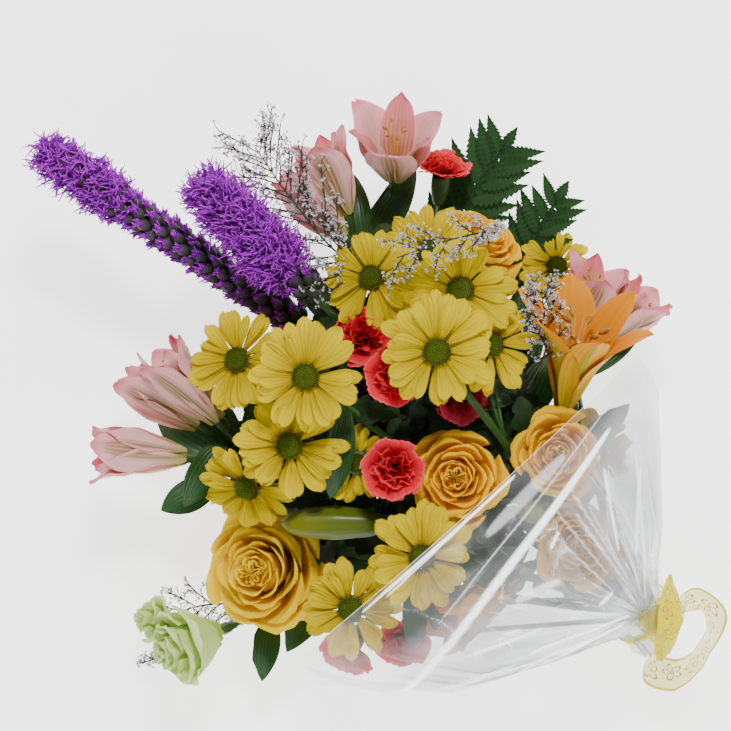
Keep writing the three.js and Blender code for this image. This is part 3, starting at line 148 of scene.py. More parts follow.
# The leaves that show whole: their base and tip, half width and twist.
LARGE_LEAVES = [
    ((144, -66, 48), (180, -106, 54), 13, 0.2),
    ((128, -46, 50), (140, -88, 52), 11, 0.2),
    ((134, 72, 44), (170, 96, 46), 11, 0.3),
    ((250, 70, 53), (316, 62, 38), 11, 0.2),
    ((258, 78, 59), (252, 122, 61), 10, 0.3),
    ((240, 68, 64), (262, 46, 83), 8, -0.3),
    ((262, -66, 54), (272, -122, 53), 9, 0.2),
    ((264, -62, 56), (300, -96, 47), 8, 0),
    ((118, -86, 38), (108, -140, 28), 9, 0.2),
    ((92, -46, 68), (86, -92, 71), 8, 0.2),
    ((92, 38, 80), (80, 12, 98), 10, 0.3),
    ((160, 102, 18), (150, 152, 42), 12, 0.1),
    ((214, 15, 106), (188, 62, 100), 9, 0.2),
    ((170, 142, 26), (150, 176, 32), 8, 0.2),
    ((172, 144, 26), (204, 128, 32), 7, 0.2),
    ((128, 30, 84), (92, 84, 86), 13, 0.2),
    ((120, 46, 78), (96, 102, 66), 12, -0.2),
    ((246, 84, 50), (300, 92, 30), 12, -0.2),
    ((246, 96, 44), (262, 134, 36), 10, 0.2),
]


# ---------- meshes
def to_frame(points):
    moved = np.array(points, float).reshape(-1, 3)
    moved[:, 0] -= REST
    return moved * MM


def placed(at, toward, lean, spin=0):
    """Where a bloom stands: its own +Z is the way it faces."""
    return (
        Matrix.Translation(Vector(at))
        @ Matrix.Rotation(math.radians(toward), 4, "Z")
        @ Matrix.Rotation(math.radians(lean), 4, "Y")
        @ Matrix.Rotation(math.radians(spin - toward), 4, "Z")
    )


class Draw(random.Random):
    """Seeded chance, where draw(a, b) is a number between a and b."""

    __call__ = random.Random.uniform


def clip(values):
    """Values held between 0 and 1."""
    return np.clip(values, 0, 1)


def unit(vectors):
    """Vectors brought to length 1."""
    return vectors / (np.linalg.norm(vectors, axis=-1, keepdims=True) + 1e-9)


def scatter(draw, spread):
    """A random shift in all three directions."""
    return np.array([draw(-spread, spread) for _ in range(3)])


def column(count):
    """Steps from 0 to 1, one for each row of a grid."""
    return np.linspace(0, 1, count)[:, None]


def circle(count):
    """Angles round a ring, one for each point of a row."""
    return np.linspace(0, 2 * PI, count, endpoint=False)[None, :]


def patch(rows, cols):
    """f along a petal and u across it, as grids."""
    return np.meshgrid(np.linspace(0, 1, rows), np.linspace(-1, 1, cols), indexing="ij")


def polar(r, angle, z):
    return np.stack(np.broadcast_arrays(r * cos(angle), r * sin(angle), z), axis=-1)


def ring(one, two, r, turn):
    """Points at a distance round an axis, where one and two are the ways at right angles to it."""
    return one * (r * cos(turn))[..., None] + two * (r * sin(turn))[..., None]


def swung(x, y, z, turn):
    """Points of a petal, turned round the axis of its bloom."""
    return np.stack([x * cos(turn) - y * sin(turn), x * sin(turn) + y * cos(turn), z], axis=-1)


def axes(base, tip):
    """The base, the span to the tip, its length and way, and the ways to its side and above it."""
    base = np.array(base, float)
    span = np.array(tip, float) - base
    side = unit(np.cross(span, UP))
    return base, span, float(np.linalg.norm(span)), unit(span), side, unit(np.cross(side, span))


def curve(points, steps):
    """A smooth path through a few points."""
    points = [np.array(p, float) for p in points]
    ends = [2 * points[0] - points[1], *points, 2 * points[-1] - points[-2]]
    out = []
    for t in np.linspace(0, len(points) - 1 - 1e-6, steps):
        k, w = int(t), t - int(t)
        a, b, c, d = ends[k : k + 4]
        bend = (2 * a - 5 * b + 4 * c - d) * w**2 + (3 * b - a - 3 * c + d) * w**3
        out.append(0.5 * (2 * b + (c - a) * w + bend))
    return np.array(out)


class Pieces:
    """Grids of points that become one mesh. Each point keeps its place on its petal, for the materials:
    along it from 0 to 1, across it from -1 to 1, and a tone from 0 to 1 that the whole petal shares."""

    def __init__(self):
        self.points, self.faces, self.marks, self.slots = [], [], [], []
        self.count = 0

    def grid(self, xyz, along, across, tone=0.5, slot=0, loop=False):
        rows, cols = xyz.shape[:2]
        index = np.arange(rows * cols).reshape(rows, cols) + self.count
        if loop:
            index = np.hstack([index, index[:, :1]])
        quads = np.stack([index[:-1, :-1], index[:-1, 1:], index[1:, 1:], index[1:, :-1]], axis=-1)
        self.points.append(xyz.reshape(-1, 3))
        self.faces.append(quads.reshape(-1, 4))
        marks = [np.broadcast_to(m, (rows, cols)).reshape(-1) for m in (along, across, tone)]
        self.marks.append(np.stack(marks, axis=-1))
        self.slots.append(np.full(len(self.faces[-1]), slot))
        self.count += rows * cols

    def tube(self, path, radii, sides=6, tone=0.5, slot=0):
        """A round stem through a path of points."""
        path = np.asarray(path, float)
        way = unit(np.gradient(path, axis=0))
        side = unit(np.cross(way, UP if abs(way[:, 2]).mean() < 0.8 else (1, 0, 0)))
        up = np.cross(side, way)
        turn = circle(sides)
        radii = np.broadcast_to(radii, (len(path),))[:, None]
        xyz = path[:, None] + ring(side[:, None], up[:, None], radii, turn)
        self.grid(xyz, column(len(path)), cos(turn), tone, slot, loop=True)

    def ball(self, centre, way, length, radius, sides=6, tone=0.5, slot=0, rows=4):
        """A small pointed oval, such as a bud or an anther."""
        steps = np.linspace(0, 1, rows + 1)
        path = np.asarray(centre, float) + np.outer(steps * length, unit(np.asarray(way, float)))
        radii = radius * sqrt(clip(sin(PI * np.clip(steps, 0.03, 0.97))))
        self.tube(path, radii, sides, tone, slot)

    def build(self, name, materials, matrix=None):
        points = np.concatenate(self.points)
        if matrix is not None:
            m = np.array(matrix)
            points = points @ m[:3, :3].T + m[:3, 3]
        faces = np.concatenate(self.faces)
        marks = np.concatenate(self.marks)
        mesh = bpy.data.meshes.new(name)
        mesh.from_pydata(to_frame(points).tolist(), [], faces.tolist())
        for k, label in enumerate(("along", "across", "tone")):
            values = mesh.attributes.new(label, "FLOAT", "POINT").data
            values.foreach_set("value", marks[:, k].astype(np.float32))
        mesh.polygons.foreach_set("material_index", np.concatenate(self.slots).astype(np.int32))
        mesh.polygons.foreach_set("use_smooth", np.ones(len(faces), bool))
        for material in materials:
            mesh.materials.append(material)
        mesh.validate()
        obj = bpy.data.objects.new(name, mesh)
        bpy.context.collection.objects.link(obj)
        return obj


# ---------- materials
def feed(socket, value):
    """Sets an input of a node, or links it where the value comes from another node."""
    value = getattr(value, "socket", value)
    if isinstance(value, bpy.types.NodeSocket):
        socket.id_data.links.new(value, socket)
    elif socket.type == "RGBA":
        socket.default_value = (*value, 1)
    else:
        socket.default_value = value


class Value:
    """A number in a material. What is reckoned with it becomes a chain of math nodes."""

    def __init__(self, look, socket):
        self.look, self.socket = look, socket

    def math(self, operation, *others):
        return self.look.read("Math", 0, dict(enumerate((self, *others))), operation=operation)

    __add__ = partialmethod(math, "ADD")
    __sub__ = partialmethod(math, "SUBTRACT")
    __mul__ = partialmethod(math, "MULTIPLY")
    __gt__ = partialmethod(math, "GREATER_THAN")
    __lt__ = partialmethod(math, "LESS_THAN")
    __abs__ = partialmethod(math, "ABSOLUTE")

    def clipped(self):
        self.socket.node.use_clamp = True
        return self


class Look:
    """A material while its nodes are laid out."""

    def __init__(self, name):
        self.material = bpy.data.materials.new(name)
        self.material.use_nodes = True
        self.nodes = self.material.node_tree.nodes
        self.nodes.clear()

    def add(self, kind, inputs=None, **settings):
        node = self.nodes.new("ShaderNode" + kind)
        for label, value in settings.items():
            setattr(node, label, value)
        for place, value in (inputs or {}).items():
            feed(node.inputs[place], value)
        return node

    def read(self, kind, output, inputs=None, **settings):
        return Value(self, self.add(kind, inputs, **settings).outputs[output])

    def mark(self, label):
        return self.read("Attribute", "Fac", attribute_name=label)

    def ramp(self, fac, stops):
        node = self.add("ValToRGB", {"Fac": fac})
        node.color_ramp.interpolation = "EASE"
        elements = node.color_ramp.elements
        while len(elements) < len(stops):
            elements.new(0.5)
        for element, (place, colour) in zip(elements, stops.items()):
            element.position = place
            element.color = (*colour, 1)
        return node.outputs["Color"]

    def mix(self, fac, a, b):
        return self.read("Mix", 2, {0: fac, 6: a, 7: b}, data_type="RGBA")

    def noise(self, scale, detail, stretch=(1, 1, 1)):
        place = self.read("Mapping", 0, {"Vector": self.read("TexCoord", "Object"), "Scale": stretch})
        return self.read("TexNoise", "Fac", {"Vector": place, "Scale": scale, "Detail": detail})

    def lines(self, count):
        """Fine lines that run along a petal: 0 between them and 1 on them."""
        return (self.mark("across") * count).math("SINE") * 0.5 + 0.5

    def body(self, colour, rough, shine, height=None, bump=0, depth=0.0006):
        inputs = {"Base Color": colour, "Roughness": rough, "Specular IOR Level": shine}
        node = self.add("BsdfPrincipled", inputs)
        if height:
            bumps = self.add("Bump", {"Strength": bump, "Distance": depth, "Height": height})
            feed(node.inputs["Normal"], bumps.outputs["Normal"])
        return node

    def blend(self, fac, one, other):
        return self.add("MixShader", {0: fac, 1: one.outputs[0], 2: other.outputs[0]})

    def finish(self, shader):
        self.add("OutputMaterial", {"Surface": shader.outputs[0]})
        return self.material


def petal(
    name, stops, vein=None, veins=18, vein_mix=0.25, rough=0.55, glow=0.3, tone=None, tint=None, bump=0.25,
    shine=0.3, stripe=None, spread=1,
):
    """A living petal or leaf: its colour runs from base to tip, with fine veins, and light passes through.
    stripe is the colour of a band of fine lines up its middle, and spread how wide that is."""
    look = Look(name)
    colour = look.ramp(look.mark("along"), stops)
    if tone:
        colour = look.mix(look.mark("tone") * tone[0], colour, tone[1])
    if tint:
        colour = look.mix(look.noise(90, 4) * tint[0], colour, tint[1])
    if vein:
        fade = (look.mark("along") * -1 + 1.15).clipped()
        colour = look.mix(look.lines(veins) * fade * vein_mix, colour, vein)
    if stripe:
        middle = ((abs(look.mark("across")) * (-1 / spread) + 1).math("MAXIMUM", 0) * 2.2).clipped()
        ends = look.ramp(look.mark("along"), {0: (1, 1, 1), 0.72: (0.9, 0.9, 0.9), 0.97: (0, 0, 0)})
        colour = look.mix(middle * ends * (look.lines(34) * 0.45 + 0.55), colour, stripe)
    body = look.body(colour, rough, shine, look.lines(veins) + look.noise(400, 2) * 0.5, bump)
    return look.finish(look.blend(glow, body, look.add("BsdfTranslucent", {"Color": colour})))


def solid(name, colour_a, colour_b, scale=60, rough=0.6, bump=0.2):
    """An opaque surface mottled between two colours."""
    look = Look(name)
    colour = look.ramp(look.noise(scale, 4), {0.35: colour_a, 0.65: colour_b})
    return look.finish(look.body(colour, rough, 0.35, look.noise(500, 2), bump, 0.0005))


def organza(name):
    """Sheer ribbon with bright edges and a print of outlined five-petalled flowers."""
    look = Look(name)
    across = look.mark("across")
    cell = look.mark("along") * (1 / PRINT_PITCH)
    row = cell.math("FLOOR")
    x = (cell.math("FRACT") - 0.5) * PRINT_PITCH
    y = across * 13 - (row * 2.4).math("SINE") * 3.6
    reach = (x * x + y * y).math("SQRT")
    waves = abs(((y.math("ARCTAN2", x) + row) * 2.5).math("COSINE"))
    flower = abs(reach - (waves * 4.2 + 2)) < 0.6
    printed = flower.math("MAXIMUM", abs(reach - 1.1) < 0.35)
    strong = (abs(across) > 0.85).math("MAXIMUM", look.mark("tone") > 0.5)
    colour = look.mix(strong, (0.60, 0.60, 0.12), (0.80, 0.70, 0))
    colour = look.mix(printed, colour, (0.56, 0.30, 0))
    cover = (strong.math("MAXIMUM", printed) * 0.5 + 0.46).clipped()
    sheer = look.add("BsdfTransparent", {"Color": (0.92, 0.88, 0.50)})
    return look.finish(look.blend(cover, sheer, look.body(colour, 0.4, 0.2)))


def clear_film(name):
    """Thin clear film. Tone is how hazy it is and across marks the painted highlight of its long folds.
    Toward the tie it is crushed into long facets, with painted highlights along the creases between them."""
    look = Look(name)
    where = look.read("TexCoord", "Object")
    x = look.read("SeparateXYZ", 0, {0: where}) + REST * MM
    y = look.read("SeparateXYZ", 1, {0: where})
    reach = (x * x + y * y).math("SQRT")
    place = look.read("CombineXYZ", 0, {0: y.math("ARCTAN2", x) * 9, 1: reach * 34})

    def facets(feature, output):
        inputs = {"Vector": place, "Scale": 1}
        return look.read("TexVoronoi", output, inputs, voronoi_dimensions="2D", feature=feature)

    near = (reach * -14 + 1.55).clipped()
    glints = (look.noise(45, 2) * 9 - 4.7).clipped()
    # Stretches of crease near the tie, picked by the glints noise, get a painted highlight.
    crease_highlight = (facets("DISTANCE_TO_EDGE", "Distance") * -30 + 1).clipped() * near * glints
    painted_highlight = look.mark("across").math("MAXIMUM", crease_highlight * 0.85)
    facet = (look.read("SeparateColor", 0, {0: facets("F1", "Color")}) - 0.5) * near
    grey = look.noise(30, 4, (1, 1, 0.3)) + facet * 0.3
    colour = look.ramp(grey, {0.25: (0.52, 0.54, 0.56), 0.7: (0.82, 0.84, 0.86)})
    haze = look.body(colour, 0.12, 1, facets("F1", "Distance") * near, 0.7, 0.002)
    rim = look.read("LayerWeight", "Facing", {"Blend": 0.18})
    feed(haze.inputs["Alpha"], (rim * 0.3 + look.mark("tone") + facet * 0.3).clipped())
    # fold is a white shader that glows: the painted highlight of the folds and creases, lit by no lamp.
    fold = look.body((1, 1, 1), 0.3, 0.5)
    feed(fold.inputs["Emission Color"], (0.92, 0.97, 1))
    feed(fold.inputs["Emission Strength"], 1.6)
    return look.finish(look.blend(painted_highlight, haze, fold))


# ---------- blooms
def daisy(draw, radius):
    """Whorls of grooved ray petals round a domed disc of packed florets, and a green cup beneath."""
    pieces = Pieces()
    f, u = patch(13, 9)
    for count, reach, lift, wide in DAISY_WHORLS:
        for k in range(count):
            length = radius * reach * draw(0.86, 1.06)
            turn = (k + 0.37 * lift + draw(-0.26, 0.26)) * 2 * PI / count
            half = wide * radius / 33 * draw(0.82, 1.12)
            rounded = sqrt(clip(1 - clip((f - 0.7) / 0.305) ** 2.2))
            width = half * (0.2 + 0.8 * sin(clip(f * 1.25) * PI / 2) ** 1.3) * rounded
            notch = draw(0, 0.06) * exp(-((u / 0.25) ** 2)) * (f > 0.92)
            x = 6 + (length - 6) * f * (1 - notch)
            y = u * width + draw(-2.6, 2.6) * f**2
            groove = 0.6 * cos(u * 2.5 * PI) * clip(f * 3) * (1 - 0.5 * f)
            twist = draw(-3.4, 3.4) * u * f
            fold = draw.choice((-1.7, -1.2, 0.9)) * u**2 * sin(PI * f)
            bend = draw(2, 5.5) * f - draw(0.5, 8) * f**2
            pieces.grid(swung(x, y, lift + bend + groove + twist + fold, turn), f, u, draw.random())
    disc = 0.235 * radius
    out = np.linspace(0.02, 1, 7)[:, None]
    dome = 1.2 + 2.4 * sqrt(clip(1.02 - out**2))
    pieces.grid(polar(disc * out, circle(24), dome), out, 0, 0.5, 1, loop=True)
    for n in range(DISC_FLORETS):
        share = (n + 0.5) / DISC_FLORETS
        foot = polar(disc * 0.98 * sqrt(share), n * GOLDEN, 1.1 + 2.4 * sqrt(max(0, 1.02 - share)))
        pieces.ball(foot, polar(0.45 * share, n * GOLDEN, 1), 1.2 + 0.8 * share, 0.5, 5, share, 1, 2)
        pieces.marks[-1][:, 0] = share
    cup = column(6)
    pieces.grid(polar(2 + 5.6 * sqrt(cup), circle(20), -9.2 + 7.6 * cup), 0.5 * cup, 0, 0.5, 2, loop=True)
    return pieces


def rose(draw, radius, petals, ruffle=0, open_heart=0, depth=None, wide=1):
    """Cupped petals in a spiral: crumpled and tight in the heart, with lips that roll out at the rim."""
    pieces = Pieces()
    depth = depth or 1.1 * radius
    pieces.ball((0, 0, -0.62 * radius), UP, 0.46 * radius, 0.3 * radius, 14, 0.2, 0, 9)
    t = np.linspace(0.02, 1, 9)[:, None]
    bowl = polar(0.72 * radius * t**0.6, circle(28), 0.55 * depth * t**1.3 - depth)
    pieces.grid(bowl, 0.6, 0, 0.6, loop=True)
    f, u = patch(18, 21)
    for n in range(petals):
        share = (n + 0.6) / petals
        rim = radius * (0.025 + 0.87 * share**1.12)
        turn = n * GOLDEN + draw(-0.25, 0.25)
        half = wide * (0.8 + 0.7 * exp(-3.2 * share))
        lobes = 0.03 * sin(u * draw(3, 6) + n) + 0.025 * sin(u * 11 + 2 * n) * share
        v = f * (1 - (0.10 + 0.16 * share) * abs(u) ** 3 + lobes)
        wall = clip(v / LIP_START)
        lip = clip((v - LIP_START) / (1 - LIP_START))
        bowl = 0.3 + 0.7 * wall ** (0.8 + 0.5 * share)
        r = 0.6 + (rim - 0.6) * bowl * (1 + (0.06 + 0.02 * share) * u * draw.choice((-1, 1)))
        r = r * (1 - (0.4 - open_heart) * (1 - share) ** 1.5 * np.clip(v, 0, LIP_START) ** 3)
        crush = exp(-9 * share) * radius * 0.16 + 0.25
        r = r + crush * sin(u * 5 + 2.3 * n) * v
        r = r + radius * (0.02 + 0.13 * share**2) * lip**1.5 * draw(0.7, 1.3)
        wave = sin(u * draw(2.2, 3.6) + 2 * n)
        r = r + radius * 0.035 * share * wave * v + ruffle * 1.3 * cos(u * 7 + 2 * n) * v**2
        high = depth * (0.98 - 0.42 * share**1.7) * draw(0.96, 1.03)
        z = -depth + high * wall**1.1 + radius * 0.07 * sin(lip * PI * 0.6)
        z = z - radius * (0.01 + 0.16 * share**1.5) * lip**2 - radius * 0.04 * u**2 * share
        z = z + ruffle * sin(u * 6 + n) * v**2 + radius * (0.015 + 0.05 * share) * wave * lip
        spread = half * (0.35 + 0.65 * clip(v)) * (1 - 0.42 * lip**2.2)
        pieces.grid(polar(r, turn + u * spread, z), v, u, share)
    return pieces


def carnation(draw, radius):
    """A collar of broad wavy petals round a heart of petals that wind like ribbon, on a green tube."""
    pieces = Pieces()
    f, u = patch(10, 27)
    collar, heart = 7, 13
    for n in range(collar + heart):
        outer = n >= heart
        share = 1 if outer else (n + 0.5) / heart
        turn = n * GOLDEN + draw(-0.2, 0.2)
        if outer:
            turn = (n + draw(-0.2, 0.2)) * 2 * PI / collar
        tilt = math.radians(78 + draw(-8, 8) if outer else 4 + 44 * share)
        length = radius * (0.86 if outer else 0.8) * draw(0.92, 1.06)
        half = radius * (0.62 if outer else 0.46) * draw(0.9, 1.1)
        edge = 1 - (0.16 if outer else 0.08) * u**4 + 0.015 * sin(u * 19 + n) * (f > 0.85)
        out = (2 + length * f) * edge
        folds = draw(2.5, 3.6) if outer else draw(5, 7)
        deep = 0.9 if outer else 2.7
        crimp = deep * f**1.5 * sin(u * folds + n * 1.7) + 0.3 * f**2 * sin(u * 13 + n)
        x = out * sin(tilt) + crimp * cos(tilt)
        rise = 8.5 * f**0.7 - 2.4 * f**3 + crimp if outer else -crimp * sin(tilt)
        z = -13 + out * cos(tilt) * 0.92 + rise
        pieces.grid(swung(x, u * half * f**0.6, z, turn), f, u, draw.random() * 0.6 + 0.4 * (1 - share))
    turn, tube = circle(16), column(7)
    girth = 3 + 2.6 * sin(tube * PI * 0.62) ** 0.8 + 0.6 * cos(5 * turn) * tube**4
    pieces.grid(polar(girth, turn, -29 + 17.5 * tube), 0.6 * tube, 0, 0.5, 1, loop=True)
    return pieces


def trumpet(draw, length, mouth, style):
    """Six tepals in two whorls of three, with an inner and an outer face, round stamens and a pistil."""
    pieces = Pieces()
    f, u = patch(18, 11)
    throat, foot, tip = style["throat"], style["foot"], style["tip"]
    for k in range(6):
        inner = k % 2
        wide = style["wide"][inner] * (0.8 + 0.2 * min(1, mouth / 28))
        reach = length * (1 + draw(-0.03, 0.04))
        lip = mouth * (1 + draw(-0.1, 0.12)) - 1.5 * inner
        r = throat + (lip - throat) * f ** style["waist"] - 1.2 * inner * sin(PI * f)
        z = 3.5 + (reach - 3.5) * f - style["curl"] * mouth * f**3.2
        shape = sin(PI * clip(f * 0.8 + 0.06)) ** style["blunt"]
        end = sqrt(clip(1 - clip((f - tip) / (1.005 - tip)) ** 2))
        side = u * wide * np.maximum(shape, 0.22) * end
        wave = style["ruffle"] * (sin(11 * f + 3 * k) + 0.5 * sin(23 * f + k)) * u**2 * f
        cup = style["cup"] * u**2 * sin(PI * f) + wave
        keel = -style["keel"] * exp(-((u * 3.2) ** 2)) * clip(f * 3)
        for face in (0, 1):
            xyz = swung(r - cup - keel + 0.45 * face, side, z - 0.15 * face, k * PI / 3)
            pieces.grid(xyz, f, u, float(inner), 2 * inner + face)
    tall, anther = length * style["stamen"], style["anther"]
    for k in range(6):
        turn = k * PI / 3 + 0.4
        spread = mouth * 0.22 * draw(0.7, 1.2)
        end = tall * draw(0.92, 1.05)
        path = curve([(0, 0, 3), polar(spread * 0.4, turn, end * 0.6), polar(spread, turn, end)], 7)
        pieces.tube(path, 0.45, 5, 0.5, 4)
        pieces.ball(path[-1] - (0, 0, 1.5), polar(1, turn, 0.6), anther, anther * 0.22, 6, 0.5, 5)
    pieces.tube(curve([(0, 0, 3), (0.6, 0, length * 0.5), (0, 1, tall * 1.08)], 6), 0.7, 5, 0.5, 4)
    turn, tube = circle(16), column(7)
    girth = (throat + 0.5) * (0.62 + 0.38 * sin(tube * PI / 2)) + 0.3 * cos(6 * turn)
    pieces.grid(polar(girth, turn, -foot + (foot + 4.5) * tube), 0.5 * tube, 0, 0.5, 6, loop=True)
    return pieces


def liatris(draw, base, tip, reach, bloomed):
    """A spike of flower heads, each a scaly bud with a brush of curling threads. The heads nearest the base
    are still closed: bloomed is where along the spike they begin to open."""
    pieces = Pieces()
    base, _, length, way, side, up = axes(base, tip)
    pieces.tube([base, base + way * length * 0.5, base + way * (length - 10)], [4.2, 4, 2], 8, 0.4, 1)
    heads = round(length * 0.68)
    for n in range(heads):
        share = (n + 0.5) / heads
        out = ring(side, up, 1, n * GOLDEN)
        foot = base + way * (3 + (length - 24) * share) + out * 2.4
        heading = unit(out * (0.95 - 2.2 * max(0, share - 0.75)) + way)
        head = reach * 0.66 * draw(0.9, 1.1)
        pieces.ball(foot, heading, head, 3.8, 7, draw.random(), 1, 5)
        for _ in range(4):
            scale = heading + scatter(draw, 0.5)
            start = foot + heading * head * draw(0.1, 0.5)
            pieces.ball(start, scale, head * 0.55, 1.3, 4, draw.random(), 1, 3)
        mouth = foot + heading * head * 0.72
        opened = min(1, max(0.14 + 0.3 * share, (share - bloomed) / 0.22 + 0.3)) * draw(0.75, 1.05)
        for _ in range(round(12 + 26 * opened)):
            spray = unit(heading + scatter(draw, 0.35 + 0.5 * opened))
            bend = scatter(draw, 4.2 * opened)
            far = spray * reach * (0.2 + 0.5 * opened) * draw(0.7, 1.15)
            start = mouth + scatter(draw, 1.2)
            path = curve([start, start + far * 0.6 - bend * 0.35, start + far + bend], 6)
            pieces.tube(path, [0.45, 0.6, 0.6, 0.58, 0.5, 0.3], 3, draw.random())
    return pieces


def sea_lavender(draw, route, spread, twigs):
    """Fine forked twigs that carry many tiny papery florets."""
    pieces = Pieces()
    main = curve(route, 24)
    pieces.tube(main, np.linspace(0.85, 0.4, 24), 5, 0.5, 1)
    for k in range(twigs):
        place = 0.2 + 0.8 * (k + 0.5) / twigs
        index = min(22, int(place * 23))
        heading = unit(main[index + 1] - main[index])
        side = np.cross(heading, UP) * (1 if k % 2 else -1)
        out = unit(heading * 0.8 + side * draw(0.4, 0.9) + (0, 0, draw(-0.05, 0.4)))
        end = main[index] + out * spread * draw(0.45, 1) * (1.15 - 0.5 * place)
        end[2] = max(end[2], 4)
        middle = (main[index] + end) / 2 + (draw(-2, 2), draw(-2, 2), 1.5)
        twig = curve([main[index], middle, end], 9)
        pieces.tube(twig, 0.4, 4, 0.5, 1)
        for n in range(12):
            start = twig[min(8, 2 + n * 7 // 12)]
            away = unit(out * 0.8 + (draw(-1, 1), draw(-1, 1), draw(-0.3, 0.9)))
            tip = start + away * draw(2.5, 7)
            tip[2] = max(tip[2], 3)
            pieces.tube([start, (start + tip) / 2 + 0.3, tip], 0.34, 3, 0.5, 1)
            for _ in range(3):
                floret(pieces, tip + scatter(draw, 1.6), away, draw)
    return pieces


def floret(pieces, centre, away, draw):
    """One papery floret: a small cup with five points."""
    size = draw(0.6, 1.05)
    axis = unit(away + scatter(draw, 0.6))
    one = unit(np.cross(axis, (0.3, 0.5, 0.81)))
    two = np.cross(axis, one)
    turn = circle(10)[0]
    rows = []
    for radius, high in ((0.2, 0), (0.55, 0.6), (1, 1)):
        r = size * radius * (1 + 0.3 * cos(5 * turn) * (radius > 0.9))
        rows.append(centre + ring(one, two, r, turn) + axis * high * size)
    pieces.grid(np.array(rows), column(3), cos(turn), draw.random(), loop=True)


def bud(foot, tip, radius):
    """A closed lily bud: six tepals pressed together, three of them with a raised keel."""
    pieces = Pieces()
    foot, _, length, way, side, up = axes(foot, tip)
    f, turn = column(26), circle(48)
    girth = np.interp(f, [0, 0.05, 0.2, 0.5, 0.78, 0.93, 1], [0.16, 0.5, 0.78, 1, 0.86, 0.5, 0.06])
    seams = 1 - 0.1 * abs(sin(1.5 * turn)) ** 0.5 * sin(PI * f) + 0.03 * cos(6 * turn)
    xyz = foot + way * (f * (length + 2) - 1)[..., None]
    xyz = xyz + ring(side, up, (radius + 0.9) * girth * seams, turn)
    pieces.grid(xyz, f, sin(3 * turn), loop=True)
    return pieces


def fern(draw, base, tip, half):
    """A leathery frond: a rib with paired, pointed leaflets that are cut again into teeth."""
    pieces = Pieces()
    base, span, length, way, _, _ = axes(base, tip)
    side = np.array([-way[1], way[0], 0])

    def rib(share):
        return base + span * share + (0, 0, 9 * sin(PI * 0.8 * share))

    pieces.tube([rib(s) for s in np.linspace(0, 1, 12)], np.linspace(1, 0.4, 12), 5, 0.3)
    edges = np.linspace(-1, 1, 3)[:, None]
    strip = [rib(s) - (0, 0, 0.5) + edges * side * 4.5 * (1.05 - s) for s in np.linspace(0, 0.9, 14)]
    pieces.grid(np.array(strip), 0.3, 0, 0.4)
    for k in range(FROND_PAIRS):
        place = 0.05 + 0.86 * k / FROND_PAIRS
        reach = half * sin(PI * (0.3 + 0.62 * place)) ** 0.8 + 3
        for hand in (-1, 1):
            heading = unit(side * hand + way * draw(0.75, 1.15))
            leaflet(pieces, rib(place), heading, reach * draw(0.92, 1.12), 0.26 * reach, 11, draw)
    leaflet(pieces, rib(0.84), way, length * 0.2, 5.5, 6, draw)
    return pieces


def leaflet(pieces, root, heading, reach, wide, teeth, draw):
    """One toothed, pointed leaflet with a sunken midrib."""
    across = unit(np.cross(heading, UP))
    f, u = patch(teeth * 5 + 1, 5)
    saw = 1 - 0.36 * ((f * teeth) % 1)
    saw[-1] = 0.4
    width = wide * sin(PI * clip(0.12 + 0.88 * f)) ** 0.75 * (1.04 - f) ** 0.6 * saw
    sag = draw(-4.5, 0.5)
    forward = abs(u) * 0.16 * wide * (1 - f)
    xyz = root + heading * (f * reach + forward)[..., None] + across * (u * width)[..., None]
    xyz[..., 2] += sag * f**2 + abs(u) * (1 + 0.35 * sin(f * teeth * 2 * PI))
    pieces.grid(xyz, f, u, draw.random())


def blade(pieces, base, tip, half, arch, cup, roll, tone, slot, lobes=0):
    """A pointed leaf from base to tip. With lobes its edge is cut as a chrysanthemum leaf's is."""
    base, span, _, _, side, up = axes(base, tip)
    f, u = patch(26 if lobes else 15, 9)
    width = half * sin(PI * clip(f * 0.93 + 0.07)) ** 0.8
    if lobes:
        width = width * (0.5 + 0.5 * abs(sin(f * PI * lobes)) ** 0.6)
    flat = u * np.maximum(width, 0.5 * (1 - f))
    lift = (arch + cup * u**2) * sin(PI * f) + 0.6 * sin(7 * f + 3 * u) * abs(u)
    xyz = base + span * f[..., None] + ring(side, up, flat, roll * f) + up * lift[..., None]
    pieces.grid(xyz, f, u, tone, slot)


def foliage(draw):
    """Dark leaves below and between the blooms, on their stems, whose near-black colour is painted shade,
    and the large leaves that show.
    """
    pieces = Pieces()
    rooms = []
    for bloom in (*DAISIES.values(), *ROSES.values(), *CARNATIONS.values()):
        below = 1.1 * bloom["radius"] + 3 if "petals" in bloom else 20
        rooms.append((np.array(bloom["at"], float), bloom["radius"] + 5, below))
    spots = [spot for spot, _, _ in rooms]
    for spot in spots:
        for k in range(6):
            angle = k * GOLDEN + draw(0, 1)
            root = spot + ((0, 0, TIE_HEIGHT) - spot) * draw(0.1, 0.3)
            shade_leaf(pieces, root, angle, rooms, draw)
    for k, one in enumerate(spots):
        for other in spots[k + 1 :]:
            if float(np.linalg.norm((one - other)[:2])) > NEIGHBOURS:
                continue
            for under in (20, 38, 58):
                root = (one + other) / 2 + (draw(-9, 9), draw(-9, 9), 0)
                root[2] = min(one[2], other[2]) - under
                shade_leaf(pieces, root, draw(0, 2 * PI), rooms, draw)
    for along in range(40, 288, 13):
        for left in range(-122, 132, 13):
            root = np.array([along + draw(-7, 7), left + draw(-7, 7), draw(12, 48)])
            if undergrowth(*root[:2]):
                shade_leaf(pieces, root, draw(0, 2 * PI), rooms, draw)
    for root, end, half, roll in LARGE_LEAVES:
        blade(pieces, root, end, half, 5, 2.5, roll, draw.random(), 1)
    return pieces


def undergrowth(along, left):
    """Whether a place is under the blooms: in the wedge that widens from the tie, inside its front."""
    aside = abs(left - 6)
    return aside < 0.64 * (along - 4) and aside < 120 and math.hypot(along - 150, left - 6) < 132


